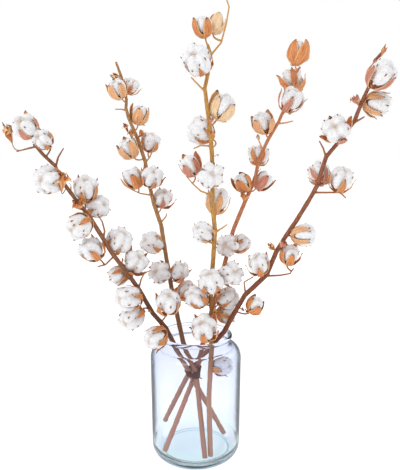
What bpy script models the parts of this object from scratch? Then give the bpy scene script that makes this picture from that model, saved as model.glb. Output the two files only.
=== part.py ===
"""Five dry cotton stems with their bolls, standing in a clear glass vase.

Four of the stems cross where a tie holds them, and the fifth stands loose beside them.
The origin is the middle of the vase's flat underside, +Z is up, and -Y is the front.
Every length in the tables is in millimetres.
"""

from dataclasses import dataclass
from math import cos, pi, sin

import bmesh
import bpy
from mathutils import Vector

MM = 0.001
GAP = 0.3
WELD = 0.000001
SEAM_WELD = 0.00001
SMOOTH_ANGLE = pi / 5

VASE_HEIGHT = 208
VASE_RADIUS = 75
VASE_WALL = 4
VASE_FLOOR = 9
VASE_FOOT_RADIUS = 56
VASE_TAPER = 1.5
SHOULDER_TOP = 195
SHOULDER_FOOT = 176
NECK_RADIUS = 57.5
LIP_RADIUS = 60
LIP_HEIGHT = 7
LIP_CURL = -0.7
SHOULDER_THINNING = 1
VASE_STEPS = 30
ARC_STEPS = 2

STEM_FOOT_RADIUS = 4.4
STEM_TIP_RADIUS = 2.1
STEM_TAPER_POWER = 0.7
TWIG_RADIUS = 1.7
TWIG_TIP_RADIUS = 1.1
STALK_RADIUS = 1.4
STALK_STEPS = 4
STALK_LIFT = 0.5
STEM_ROUNDNESS = 2
TWIG_ROUNDNESS = 1
BARK_ROUGHNESS = 0.75

TIE_MIDDLE = 144
TIE_HEIGHT = 8
TIE_THICKNESS = 2.2
TIE_SLACK = 3.0
TIE_ARC_STEPS = 4

AXIS_RADIUS = 0.01
BOLL_SEGMENTS = 10
BOLL_RINGS = 5
BOLL_FURROW = 0.86
BOLL_FLATTEN = 0.92
BOLL_SEAT = 1.28
BOLL_FILL = 0.93


@dataclass(frozen=True)
class Boll:
    """One boll: the height of its middle, and how far right and behind its stem it sits.

    facing is the way that it opens, from its seat to its crown, and width is its width over the cotton.
    """

    height: float
    right: float
    behind: float
    width: float
    facing: tuple


@dataclass(frozen=True)
class Stem:
    """One stem with its side twigs and the bolls on it, the route and the twigs from their feet up."""

    name: str
    colour: tuple
    route: tuple
    twigs: tuple
    bolls: tuple
    held: bool = True


STEMS = (
    Stem(
        "a",
        (0.16, 0.07, 0.045, 1),
        route=(
            (49, 30, 14), (-9, -20, 144), (-34, -28, 198), (-47, -34, 228), (-67, -40, 254),
            (-88, -49, 297), (-125, -60, 354), (-155, -67, 409), (-173, -71, 434), (-191, -74, 461),
            (-200, -77, 484), (-215, -79, 499), (-228, -81, 515),
        ),
        twigs=(
            ((-225, -80, 511), (-238, -80, 508), (-254, -79, 504)),
            ((-199, -77, 483), (-195, -78, 496), (-186, -80, 509)),
            ((-137, -63, 374), (-134, -65, 388), (-137, -66, 402), (-144, -68, 414)),
            ((-122, -59, 349), (-136, -56, 335), (-148, -56, 332)),
            ((-87, -49, 296), (-83, -51, 311), (-76, -54, 324)),
        ),
        bolls=(
            Boll(539, -5, -19, 34, (-3, -7, 6)),
            Boll(521, 18, -19, 28, (-3, -8, 4)),
            Boll(465, -12, -23, 39, (-4, -9, 1)),
            Boll(451, 22, 14, 38, (1, -4, 9)),
            Boll(423, 19, 24, 33, (7, -5, 3)),
            Boll(397, -20, -16, 35, (-7, -5, -4)),
            Boll(361, -26, -5, 36, (-4, -5, 7)),
            Boll(370, 18, 18, 38, (5, -4, 8)),
            Boll(336, 22, 16, 39, (4, -6, 6)),
            Boll(285, -20, -17, 37, (-7, -6, 1)),
            Boll(249, -36, -10, 38, (-6, -6, -4)),
            Boll(278, 37, -14, 38, (1, -5, 8)),
            Boll(218, -20, -20, 35, (-7, -6, -3)),
        ),
    ),
    Stem(
        "b",
        (0.33, 0.19, 0.07, 1),
        route=(
            (15, -49, 14), (1, -23, 144), (-21, 4, 190), (-38, 23, 262), (-49, 38, 321),
            (-59, 52, 380), (-71, 60, 414), (-78, 66, 442), (-87, 77, 487), (-99, 84, 523),
            (-115, 90, 559), (-120, 93, 577), (-119, 95, 592), (-128, 102, 630), (-137, 105, 655),
        ),
        twigs=(
            ((-120, 92, 573), (-128, 92, 575), (-139, 93, 575)),
            ((-76, 64, 430), (-95, 64, 433), (-111, 66, 440)),
            ((-60, 53, 384), (-51, 55, 394), (-49, 56, 400)),
            ((-87, 76, 484), (-79, 78, 494), (-75, 81, 503)),
        ),
        bolls=(
            Boll(609, -9, -20, 34, (-3, -5, 8)),
            Boll(569, 21, 8, 35, (2, -2, 9)),
            Boll(521, 19, 8, 33, (2, -4, 9)),
            Boll(511, -20, -9, 34, (-4, -3, 8)),
            Boll(461, -25, -6, 35, (-4, -2, 9)),
            Boll(462, 10, -25, 36, (3, -7, 6)),
            Boll(425, 18, 5, 33, (2, -5, 8)),
            Boll(353, -19, -15, 36, (-6, -6, 5)),
            Boll(307, -13, -20, 36, (-3, -9, 2)),
            Boll(307, 20, -10, 33, (4, -5, 8)),
        ),
    ),
    Stem(
        "c",
        (0.40, 0.23, 0.08, 1),
        held=False,
        route=(
            (24, -43, 14), (21, -39, 110), (25, -37, 191), (26, -34, 253), (24, -35, 280),
            (28, -35, 350), (30, -37, 384), (26, -38, 425), (25, -42, 497), (22, -44, 535),
            (16, -47, 578), (14, -48, 595), (18, -49, 613), (22, -51, 642), (18, -51, 655),
        ),
        twigs=(
            ((22, -51, 640), (37, -51, 657), (44, -53, 682), (48, -54, 705), (43, -55, 718)),
            ((14, -47, 590), (6, -48, 598), (-6, -49, 610)),
            ((24, -43, 512), (8, -43, 513), (-3, -43, 508)),
            ((26, -39, 438), (8, -39, 445), (-5, -40, 457), (-14, -40, 468)),
            ((30, -37, 381), (42, -37, 389), (49, -37, 394)),
            ((28, -35, 364), (17, -36, 367), (5, -36, 371), (-1, -36, 382), (-1, -37, 396)),
        ),
        bolls=(
            Boll(679, -7, -7, 28, (-2, -2, 9)),
            Boll(629, -17, -23, 40, (-3, -8, 5)),
            Boll(570, 24, 4, 38, (4, -3, 8)),
            Boll(535, -14, 19, 38, (-6, -2, 4)),
            Boll(484, -34, 2, 32, (-4, -4, 8)),
            Boll(469, -2, -25, 38, (1, -10, 2)),
            Boll(430, 8, 22, 38, (1, 3, 9)),
            Boll(310, -3, -23, 38, (-1, -6, 8)),
            Boll(317, 29, -6, 36, (4, -8, 3)),
            Boll(281, -23, -9, 35, (-6, -5, 6)),
            Boll(274, 27, 12, 34, (6, -2, 5)),
            Boll(238, -12, -27, 42, (-2, -6, 8)),
            Boll(164, 20, 5, 32, (8, -4, 2)),
        ),
    ),
    Stem(
        "d",
        (0.36, 0.14, 0.07, 1),
        route=(
            (-51, -28, 14), (2, -1, 144), (17, 14, 208), (27, 21, 240), (44, 35, 297), (63, 53, 370),
            (77, 61, 403), (85, 63, 422), (101, 69, 456), (103, 71, 469), (109, 75, 494),
            (123, 80, 523), (142, 85, 555), (166, 94, 611), (169, 97, 634), (178, 99, 646),
        ),
        twigs=(
            ((139, 84, 550), (154, 84, 552), (166, 85, 555)),
            ((113, 76, 502), (111, 78, 514), (106, 78, 524)),
            ((85, 63, 421), (91, 61, 428)),
        ),
        bolls=(
            Boll(673, -4, 3, 40, (2, 2, 9)),
            Boll(626, 1, 26, 41, (-1, 7, 6)),
            Boll(590, 3, -27, 40, (4, -4, 8)),
            Boll(553, -28, -4, 36, (-3, -4, 8)),
            Boll(497, -1, 22, 34, (1, 6, 7)),
            Boll(454, -22, -6, 34, (-5, -3, 8)),
            Boll(455, 17, 12, 34, (6, -2, 7)),
            Boll(350, -5, -24, 35, (-4, -9, 3)),
        ),
    ),
    Stem(
        "e",
        (0.24, 0.08, 0.045, 1),
        route=(
            (-55, 30, 37), (-9, -2, 144), (20, -21, 188), (45, -33, 221), (60, -42, 254),
            (76, -50, 286), (108, -58, 320), (120, -66, 356), (133, -71, 381), (147, -75, 404),
            (164, -79, 435), (174, -81, 455), (185, -85, 497), (198, -86, 513), (221, -89, 545),
            (231, -93, 576), (237, -94, 590), (243, -98, 626), (255, -99, 639),
        ),
        twigs=(
            ((220, -89, 543), (230, -90, 549), (235, -90, 552)),
            ((185, -85, 496), (180, -86, 509), (174, -87, 519)),
            ((170, -80, 446), (194, -80, 446), (208, -80, 446), (217, -79, 438)),
            ((107, -58, 318), (128, -58, 319), (143, -59, 322), (148, -61, 331)),
            ((77, -50, 287), (74, -56, 308), (88, -58, 317)),
        ),
        bolls=(
            Boll(605, 8, -22, 37, (5, -6, 7)),
            Boll(568, 26, 4, 35, (9, -3, -3)),
            Boll(534, -21, -20, 39, (-4, -9, 3)),
            Boll(472, 2, 20, 32, (-1, 7, 6)),
            Boll(466, 31, -4, 34, (2, -4, 9)),
            Boll(384, 25, -5, 34, (9, -2, 1)),
            Boll(354, 22, -2, 29, (2, -3, 9)),
            Boll(341, -22, -10, 33, (-2, -4, 9)),
            Boll(273, 23, -6, 30, (4, -4, 8)),
        ),
    ),
)

GLASS = (0.80, 0.89, 0.92, 1)
TWINE = (0.07, 0.035, 0.02, 1)
COTTON = (0.86, 0.85, 0.82, 1)


def clear_scene():
    """Removes every object that the file was opened with."""
    for thing in list(bpy.data.objects):
        bpy.data.objects.remove(thing, do_unlink=True)


def collection_named(name):
    """A new collection in the scene."""
    group = bpy.data.collections.new(name)
    bpy.context.scene.collection.children.link(group)
    return group


def material(name, colour, roughness, transmission=0.0):
    """A plain finish that isn't metal."""
    finish = bpy.data.materials.new(name)
    finish.use_nodes = True
    shader = finish.node_tree.nodes["Principled BSDF"]
    shader.inputs["Base Color"].default_value = colour
    shader.inputs["Roughness"].default_value = roughness
    shader.inputs["Metallic"].default_value = 0.0
    shader.inputs["Transmission Weight"].default_value = transmission
    return finish


def add_piece(group, root, name, mesh, finish):
    """One named solid of the bunch, in its finish."""
    piece = bpy.data.objects.new(name, mesh)
    mesh.materials.clear()
    mesh.materials.append(finish)
    group.objects.link(piece)
    piece.parent = root
    return piece


def arc(centre, radii, start, end, steps):
    """Points of an elliptical arc from the angle start to end, both in quarter turns."""
    angles = [(start + (end - start) * i / steps) * pi / 2 for i in range(steps + 1)]
    return [(centre[0] + radii[0] * cos(a), centre[1] + radii[1] * sin(a)) for a in angles]


def shoulder(neck, body, top, foot):
    """The outside of a shoulder: a hollow quarter below the neck, then a round one onto the body."""
    middle = ((neck + body) / 2, (top + foot) / 2)
    reach = (middle[0] - neck, top - middle[1])
    hollow = arc((middle[0], top), reach, 2, 3, ARC_STEPS)
    crown = arc((middle[0], foot), (body - middle[0], middle[1] - foot), 1, 0, ARC_STEPS)
    return hollow + crown[1:]


def vase_outside():
    """The outer side of the vase from the lip to the middle of its underside."""
    lip = arc((LIP_RADIUS - LIP_HEIGHT / 2, VASE_HEIGHT - LIP_HEIGHT / 2),
              (LIP_HEIGHT / 2, LIP_HEIGHT / 2), 1, LIP_CURL, 2 * ARC_STEPS)
    corner = VASE_RADIUS - VASE_TAPER - VASE_FOOT_RADIUS
    heel = arc((VASE_FOOT_RADIUS, corner), (corner, corner), 0, -1, 2 * ARC_STEPS)
    return lip + shoulder(NECK_RADIUS, VASE_RADIUS, SHOULDER_TOP, SHOULDER_FOOT) + heel + [(0, 0)]


def vase_inside():
    """The inner side of the vase from the middle of its floor to the lip."""
    wall = VASE_RADIUS - VASE_WALL
    corner = wall - VASE_TAPER - VASE_FOOT_RADIUS
    floor = arc((VASE_FOOT_RADIUS, VASE_FLOOR + corner), (corner, corner), -1, 0, 2 * ARC_STEPS)
    neck = NECK_RADIUS - VASE_WALL
    foot = SHOULDER_FOOT - VASE_WALL / 2
    under = shoulder(neck, wall, SHOULDER_TOP - SHOULDER_THINNING, foot)[::-1]
    edge = LIP_HEIGHT / 4
    mouth = arc((neck + edge, VASE_HEIGHT - edge), (edge, edge), 2, 1, ARC_STEPS)
    return [(0, VASE_FLOOR)] + floor + under + mouth


def turned_mesh(name, profile, steps):
    """The solid that a profile in the XZ plane sweeps round the Z axis."""
    mesh = bpy.data.meshes.new(name)
    points = [(r * MM, 0, z * MM) for r, z in profile]
    mesh.from_pydata(points, [(i, i + 1) for i in range(len(points) - 1)], [])
    guide = bpy.data.objects.new(name, mesh)
    bpy.context.scene.collection.objects.link(guide)
    screw = guide.modifiers.new("turn", "SCREW")
    screw.steps = steps
    screw.render_steps = steps
    screw.use_merge_vertices = True
    screw.merge_threshold = SEAM_WELD
    return baked(guide)


def baked(thing):
    """The evaluated mesh of an object, with its loose caps welded. The object is removed."""
    graph = bpy.context.evaluated_depsgraph_get()
    mesh = bpy.data.meshes.new_from_object(thing.evaluated_get(graph))
    shape = bmesh.new()
    shape.from_mesh(mesh)
    bmesh.ops.remove_doubles(shape, verts=shape.verts, dist=WELD)
    shape.to_mesh(mesh)
    shape.free()
    bpy.data.objects.remove(thing, do_unlink=True)
    return mesh


def tube(name, points, radii, roundness):
    """A solid tube through the points, with a radius at each of them."""
    curve = bpy.data.curves.new(name, "CURVE")
    curve.dimensions = "3D"
    curve.bevel_depth = MM
    curve.bevel_resolution = roundness
    curve.use_fill_caps = True
    spline = curve.splines.new("POLY")
    spline.points.add(len(points) - 1)
    for knot, point, radius in zip(spline.points, points, radii):
        knot.co = (*(Vector(point) * MM), 1)
        knot.radius = radius
    guide = bpy.data.objects.new(name, curve)
    bpy.context.scene.collection.objects.link(guide)
    bpy.context.view_layer.update()
    return baked(guide)


def at_height(route, height):
    """The point of a route at a height, or its last point where it ends lower."""
    for low, high in zip(route, route[1:]):
        if height <= high[2]:
            share = (height - low[2]) / (high[2] - low[2])
            return Vector(low).lerp(Vector(high), share)
    return Vector(route[-1])


def nearest_on(route, point):
    """The point of a route that is nearest to a point, and the way that the route runs there."""
    best = None
    for low, high in zip(route, route[1:]):
        start, run = Vector(low), Vector(high) - Vector(low)
        share = min(1.0, max(0.0, (point - start).dot(run) / run.length_squared))
        found = start + run * share
        if best is None or (found - point).length < (best[0] - point).length:
            best = (found, run.normalized())
    return best


def boll_middle(stem, boll):
    """The middle of a boll, beside its stem or over the stem's tip."""
    over_tip = max(0, boll.height - stem.route[-1][2])
    return at_height(stem.route, boll.height) + Vector((boll.right, boll.behind, over_tip))


def stalk_points(stem, boll):
    """A boll's own stalk: it leaves the nearest stem or twig below the boll and ends under its seat."""
    facing = Vector(boll.facing).normalized()
    reach = BOLL_SEAT * BOLL_FILL * boll.width / 2 + GAP
    end = boll_middle(stem, boll) - facing * reach
    routes = (stem.route, *stem.twigs)
    route = min(routes, key=lambda way: (nearest_on(way, end)[0] - end).length)
    beside, run = nearest_on(route, end)
    root, _ = nearest_on(route, beside - run * (beside - end).length * STALK_LIFT)
    bend = end - facing * (end - root).length * STALK_LIFT
    shares = [i / STALK_STEPS for i in range(STALK_STEPS + 1)]
    return [root.lerp(bend, t).lerp(bend.lerp(end, t), t) for t in shares]


def tapered(count):
    """The radii down a stem's points, from its foot to its tip."""
    shares = [i / (count - 1) for i in range(count)]
    span = STEM_FOOT_RADIUS - STEM_TIP_RADIUS
    return [STEM_TIP_RADIUS + span * (1 - share) ** STEM_TAPER_POWER for share in shares]


def branch_meshes(stem):
    """A tube for each twig of a stem and for each of its bolls' stalks."""
    branches = []
    for twig in stem.twigs:
        steps = len(twig) - 1
        radii = [TWIG_RADIUS + (TWIG_TIP_RADIUS - TWIG_RADIUS) * i / steps for i in range(steps + 1)]
        branches.append(tube("twig", twig, radii, TWIG_ROUNDNESS))
    for boll in stem.bolls:
        points = stalk_points(stem, boll)
        branches.append(tube("stalk", points, [STALK_RADIUS] * len(points), TWIG_ROUNDNESS))
    return branches


def stem_mesh(stem):
    """One solid of a stem, its twigs and its bolls' stalks."""
    body = bpy.data.objects.new(
        "stem", tube("stem", stem.route, tapered(len(stem.route)), STEM_ROUNDNESS))
    bpy.context.scene.collection.objects.link(body)
    guides = []
    for mesh in branch_meshes(stem):
        guide = bpy.data.objects.new("branch", mesh)
        bpy.context.scene.collection.objects.link(guide)
        join = body.modifiers.new("grow", "BOOLEAN")
        join.operation = "UNION"
        join.object = guide
        guides.append(guide)
    bpy.context.view_layer.update()
    mesh = baked(body)
    for guide in guides:
        bpy.data.objects.remove(guide, do_unlink=True)
    return mesh


def boll_mesh():
    """A boll one unit wide that opens along +Z: five lobes of cotton over a pointed seat."""
    shape = bmesh.new()
    bmesh.ops.create_uvsphere(shape, u_segments=BOLL_SEGMENTS, v_segments=BOLL_RINGS, radius=0.5)
    seat = min(shape.verts, key=lambda vert: vert.co.z)
    for vert in shape.verts:
        turn = Vector((vert.co.x, vert.co.y, 0))
        if turn.length > AXIS_RADIUS:
            sector = round(turn.to_2d().angle_signed(Vector((1, 0))) / (2 * pi / BOLL_SEGMENTS))
            if sector % 2:
                vert.co.x *= BOLL_FURROW
                vert.co.y *= BOLL_FURROW
        vert.co.z *= BOLL_FLATTEN
    seat.co.z = -BOLL_SEAT / 2
    mesh = bpy.data.meshes.new("boll")
    shape.to_mesh(mesh)
    shape.free()
    return mesh


def tie_outline(centres, offset):
    """A loop round the stems at a distance from their middles: an arc at each, straight between."""
    middle = sum(centres, Vector((0, 0))) / len(centres)
    around = sorted(centres, key=lambda c: (c - middle).angle_signed(Vector((1, 0))))
    points = []
    for i, centre in enumerate(around):
        before, after = around[i - 1], around[(i + 1) % len(around)]
        first = -(centre - before).orthogonal().normalized()
        last = -(after - centre).orthogonal().normalized()
        for step in range(TIE_ARC_STEPS + 1):
            outward = first.slerp(last, step / TIE_ARC_STEPS)
            points.append(centre + outward * offset)
    return points


def tie_mesh():
    """A plain band round the stems that it holds."""
    centres = [at_height(stem.route, TIE_MIDDLE).to_2d() for stem in STEMS if stem.held]
    inner = STEM_FOOT_RADIUS + TIE_SLACK
    curve = bpy.data.curves.new("tie", "CURVE")
    curve.dimensions = "2D"
    curve.fill_mode = "BOTH"
    curve.extrude = TIE_HEIGHT * MM / 2
    for offset in (inner + TIE_THICKNESS, inner):
        points = tie_outline(centres, offset)
        spline = curve.splines.new("POLY")
        spline.points.add(len(points) - 1)
        spline.use_cyclic_u = True
        for knot, point in zip(spline.points, points):
            knot.co = (*(point * MM), 0, 1)
    guide = bpy.data.objects.new("tie", curve)
    bpy.context.scene.collection.objects.link(guide)
    bpy.context.view_layer.update()
    return baked(guide)


def add_vase(group, root):
    """The clear vase: one turned wall with its mouth open."""
    mesh = turned_mesh("glass_vase", vase_inside() + vase_outside(), VASE_STEPS)
    mesh.shade_smooth()
    mesh.set_sharp_from_angle(angle=SMOOTH_ANGLE)
    add_piece(group, root, "glass_vase", mesh, material("glass", GLASS, 0.02, 1.0))


def add_tie(group, root):
    """The band that holds the stems where they cross."""
    tie = add_piece(group, root, "stem_tie", tie_mesh(), material("twine", TWINE, 0.9))
    tie.location.z = TIE_MIDDLE * MM


def add_stem(group, root, stem, ball, cotton):
    """A stem in its own bark, with its bolls."""
    bark = material(f"bark_{stem.name}", stem.colour, BARK_ROUGHNESS)
    add_piece(group, root, f"stem_{stem.name}", stem_mesh(stem), bark)
    for number, boll in enumerate(stem.bolls, start=1):
        piece = add_piece(group, root, f"boll_{stem.name}_{number:02d}", ball, cotton)
        piece.location = boll_middle(stem, boll) * MM
        piece.rotation_euler = Vector(boll.facing).to_track_quat("Z", "Y").to_euler()
        piece.scale = [BOLL_FILL * boll.width * MM] * 3


def main():
    """Builds the vase, the tie and the stems under one empty."""
    clear_scene()
    group = collection_named("cotton_stem_bunch")
    root = bpy.data.objects.new("bunch_in_vase", None)
    group.objects.link(root)
    add_vase(group, root)
    add_tie(group, root)
    ball = boll_mesh()
    cotton = material("cotton", COTTON, 0.95)
    for stem in STEMS:
        add_stem(group, root, stem, ball, cotton)


main()
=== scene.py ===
"""The looks of a bunch of dry cotton stems that stands in a clear glass vase.

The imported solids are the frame. Each stem's bark is grown from its solid, each boll opens where its solid
sits and the way that it faces, and the vase and the tie keep the places of theirs. Lengths are in metres,
apart from the tables whose fields say millimetres and the bolls' own shapes, which are in widths of the boll.
"""

import logging
import math
from dataclasses import dataclass, field
from enum import Enum
from typing import Iterable, Sequence

import bmesh
import bpy
import numpy as np
from mathutils import Matrix, Vector, noise
from mathutils.bvhtree import BVHTree
from mathutils.geometry import convex_hull_2d
from mathutils.kdtree import KDTree


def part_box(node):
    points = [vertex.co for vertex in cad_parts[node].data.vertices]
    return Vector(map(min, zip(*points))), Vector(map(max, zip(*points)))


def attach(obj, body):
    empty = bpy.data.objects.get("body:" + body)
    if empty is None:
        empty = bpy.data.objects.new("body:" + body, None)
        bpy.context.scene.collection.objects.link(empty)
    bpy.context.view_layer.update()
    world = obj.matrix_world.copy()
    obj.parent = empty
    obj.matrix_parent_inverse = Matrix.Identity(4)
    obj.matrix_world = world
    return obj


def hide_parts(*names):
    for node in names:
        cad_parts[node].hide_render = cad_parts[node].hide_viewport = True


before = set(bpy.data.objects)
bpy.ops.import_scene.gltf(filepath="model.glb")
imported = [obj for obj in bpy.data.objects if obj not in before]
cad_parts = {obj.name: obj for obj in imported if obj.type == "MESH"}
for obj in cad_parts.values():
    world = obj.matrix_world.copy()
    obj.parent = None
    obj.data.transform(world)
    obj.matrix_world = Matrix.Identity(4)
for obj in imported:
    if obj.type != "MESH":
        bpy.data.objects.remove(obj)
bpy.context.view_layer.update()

MM = 0.001
WELD = 1e-6
BODY = "root"
NOISE_SEED = 11
LOG = logging.getLogger("cotton_stems")

Colour = tuple[float, float, float]


def srgb(red: int, green: int, blue: int) -> Colour:
    """The linear colour of an 8-bit one.

    Args:
        red: Red, from 0 to 255.
        green: Green, from 0 to 255.
        blue: Blue, from 0 to 255.

    Returns:
        The three linear parts, from 0 to 1.
    """
    parts = [value / 255 for value in (red, green, blue)]
    return tuple(part / 12.92 if part <= 0.04045 else ((part + 0.055) / 1.055) ** 2.4 for part in parts)


def rgba(colour: Colour) -> tuple[float, float, float, float]:
    """A colour with full alpha."""
    return (*colour, 1.0)


def smooth_step(values: np.ndarray, low: float, high: float) -> np.ndarray:
    """Each value's share of the way from low to high, eased at both ends."""
    share = np.clip((values - low) / (high - low), 0.0, 1.0)
    return share * share * (3.0 - 2.0 * share)


def unit(rows: np.ndarray) -> np.ndarray:
    """The same rows, each scaled to length 1."""
    return rows / np.maximum(np.linalg.norm(rows, axis=-1, keepdims=True), 1e-12)


def finder_of(points: np.ndarray) -> KDTree:
    """A tree that finds the nearest of some points."""
    finder = KDTree(len(points))
    for number, point in enumerate(points):
        finder.insert(point, number)
    finder.balance()
    return finder


# ---------------------------------------------------------------- meshes in hand


@dataclass
class Skin:
    """A mesh in hand, before it becomes a piece.

    Attributes:
        points: The vertices, one row each.
        corners: The vertex numbers of every face, one after another.
        sizes: How many corners each face has.
        slots: The material slot of each face.
        marks: Named values on the vertices, as numbers or vectors.
    """

    points: np.ndarray
    corners: np.ndarray
    sizes: np.ndarray
    slots: np.ndarray
    marks: dict[str, np.ndarray] = field(default_factory=dict)

    @classmethod
    def of_faces(cls, points: Sequence, faces: Sequence[Sequence[int]], slot: int = 0) -> "Skin":
        """A skin from points and lists of vertex numbers.

        Args:
            points: The vertices.
            faces: Each face's vertex numbers, anticlockwise seen from outside.
            slot: The material slot of all the faces.

        Returns:
            The new skin, with no marks.
        """
        corners = np.array([number for face in faces for number in face], np.int32)
        sizes = np.array([len(face) for face in faces], np.int32)
        return cls(np.array(points, float), corners, sizes, np.full(len(sizes), slot, np.int32))

    @classmethod
    def of_mesh(cls, mesh: bpy.types.Mesh, slot: int = 0) -> "Skin":
        """A skin that copies a mesh, with all of its number marks on the vertices.

        Args:
            mesh: The mesh to read.
            slot: The material slot for its faces.

        Returns:
            The copy.
        """
        points = np.empty(len(mesh.vertices) * 3)
        mesh.vertices.foreach_get("co", points)
        corners = np.empty(len(mesh.loops), np.int32)
        mesh.loops.foreach_get("vertex_index", corners)
        sizes = np.empty(len(mesh.polygons), np.int32)
        mesh.polygons.foreach_get("loop_total", sizes)
        skin = cls(points.reshape(-1, 3), corners, sizes, np.full(len(sizes), slot, np.int32))
        for layer in mesh.attributes:
            if layer.domain == "POINT" and layer.data_type == "FLOAT" and not layer.is_internal:
                values = np.empty(len(mesh.vertices))
                layer.data.foreach_get("value", values)
                skin.marks[layer.name] = values
        return skin

    @classmethod
    def joined(cls, skins: Iterable["Skin"]) -> "Skin":
        """One skin of several, which stay separate shells.

        Args:
            skins: The skins to join. A mark that one of them lacks is 0 on it.

        Returns:
            The joined skin.
        """
        parts = list(skins)
        starts = np.cumsum([0] + [len(part.points) for part in parts])
        names = sorted({name for part in parts for name in part.marks})
        marks = {}
        for name in names:
            width = next(part.marks[name].shape[1:] for part in parts if name in part.marks)
            marks[name] = np.concatenate(
                [part.marks.get(name, np.zeros((len(part.points), *width))) for part in parts])
        return cls(
            np.concatenate([part.points for part in parts]),
            np.concatenate([part.corners + start for part, start in zip(parts, starts)]).astype(np.int32),
            np.concatenate([part.sizes for part in parts]),
            np.concatenate([part.slots for part in parts]),
            marks,
        )

    def moved(self, matrix: Matrix) -> "Skin":
        """The same skin after a transform."""
        turned = self.points @ np.array(matrix.to_3x3()).T + np.array(matrix.translation)
        return Skin(turned, self.corners, self.sizes, self.slots, self.marks)

    def in_slot(self, slot: int) -> "Skin":
        """The same skin with all its faces in another material slot."""
        return Skin(self.points, self.corners, self.sizes, np.full_like(self.slots, slot), self.marks)

    def mesh(self, name: str) -> bpy.types.Mesh:
        """A Blender mesh of the skin.

        Args:
            name: The mesh's name.

        Returns:
            The mesh, shaded smooth, with the skin's marks.
        """
        mesh = bpy.data.meshes.new(name)
        mesh.vertices.add(len(self.points))
        mesh.vertices.foreach_set("co", self.points.astype(np.float32).ravel())
        mesh.loops.add(len(self.corners))
        mesh.loops.foreach_set("vertex_index", self.corners)
        mesh.polygons.add(len(self.sizes))
        starts = np.cumsum(self.sizes) - self.sizes
        mesh.polygons.foreach_set("loop_start", starts.astype(np.int32))
        mesh.polygons.foreach_set("material_index", self.slots)
        for mark, values in self.marks.items():
            vector = values.ndim > 1
            layer = mesh.attributes.new(mark, "FLOAT_VECTOR" if vector else "FLOAT", "POINT")
            layer.data.foreach_set("vector" if vector else "value", values.astype(np.float32).ravel())
        mesh.update(calc_edges=True)
        mesh.validate()
        mesh.shade_smooth()
        return mesh


def shown(name: str, mesh: bpy.types.Mesh) -> bpy.types.Object:
    """An object of a mesh in the scene, at the origin."""
    thing = bpy.data.objects.new(name, mesh)
    bpy.context.scene.collection.objects.link(thing)
    return thing


def finished_mesh(thing: bpy.types.Object) -> bpy.types.Mesh:
    """The mesh that an object's modifiers make. The object is removed.

    Args:
        thing: The object to evaluate.

    Returns:
        A plain mesh of its own.
    """
    bpy.context.view_layer.update()
    graph = bpy.context.evaluated_depsgraph_get()
    mesh = bpy.data.meshes.new_from_object(thing.evaluated_get(graph), depsgraph=graph)
    bpy.data.objects.remove(thing, do_unlink=True)
    return mesh


def piece(name: str, skin: Skin, finishes: Sequence[bpy.types.Material],
          nodes: Sequence[str] = ()) -> bpy.types.Object:
    """A finished piece that rides on the body.

    Args:
        name: The piece's name.
        skin: Its mesh, in place.
        finishes: Its materials, in the order of its slots.
        nodes: The solids that it stands for.

    Returns:
        The new object.
    """
    thing = shown(name, skin.mesh(name))
    for finish in finishes:
        thing.data.materials.append(finish)
    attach(thing, BODY)
    if nodes:
        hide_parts(*nodes)
    LOG.info("%s: %d faces", name, len(skin.sizes))
    return thing


def shell(grid: np.ndarray, thickness: np.ndarray | float) -> Skin:
    """A closed leaf of a grid of points, with marks for its two sides, its length and its edges.

    Args:
        grid: Points by length and width. The side that length cross width points to is the inner side.
        thickness: How thick the leaf is, as one number or one for each point.

    Returns:
        The leaf, marked with inside, tip and rim.
    """
    rows, columns = grid.shape[:2]
    along, across = np.gradient(grid, axis=0), np.gradient(grid, axis=1)
    normals = unit(np.cross(along, across))
    back = grid - normals * np.broadcast_to(np.asarray(thickness, float), (rows, columns))[..., None]
    number = np.arange(rows * columns).reshape(rows, columns)
    other = rows * columns
    faces = []
    for i in range(rows - 1):
        for j in range(columns - 1):
            ring = (number[i, j], number[i + 1, j], number[i + 1, j + 1], number[i, j + 1])
            faces.append(ring)
            faces.append(tuple(corner + other for corner in reversed(ring)))
    edge = [*number[:-1, 0], *number[-1, :-1], *number[:0:-1, -1], *number[0, :0:-1]]
    for start, end in zip(edge, edge[1:] + edge[:1]):
        faces.append((end, start, start + other, end + other))
    skin = Skin.of_faces(np.concatenate([grid.reshape(-1, 3), back.reshape(-1, 3)]), faces)
    lengths = np.repeat(np.linspace(0, 1, rows), columns)
    sides = np.tile(np.linspace(-1, 1, columns), rows)
    skin.marks["inside"] = np.concatenate([np.ones(other), np.zeros(other)])
    skin.marks["tip"] = np.concatenate([lengths, lengths])
    skin.marks["side"] = np.concatenate([sides, sides])
    skin.marks["rim"] = np.abs(skin.marks["side"])
    return skin


def along_curve(knots: Sequence[Sequence[float]], shares: np.ndarray) -> np.ndarray:
    """Points on a smooth curve through knots.

    Args:
        knots: The points that the curve passes, in any number of dimensions.
        shares: Where to read it, from 0 at the first knot to 1 at the last.

    Returns:
        One row for each share.
    """
    known = np.array(knots, float)
    padded = np.concatenate([[2 * known[0] - known[1]], known, [2 * known[-1] - known[-2]]])
    place = np.clip(shares, 0, 1) * (len(known) - 1)
    first = np.minimum(place.astype(int), len(known) - 2)
    t = (place - first)[:, None]
    a, b, c, d = (padded[first + step] for step in range(4))
    return 0.5 * (2 * b + (c - a) * t + (2 * a - 5 * b + 4 * c - d) * t**2 + (3 * b - a - 3 * c + d) * t**3)


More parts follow.
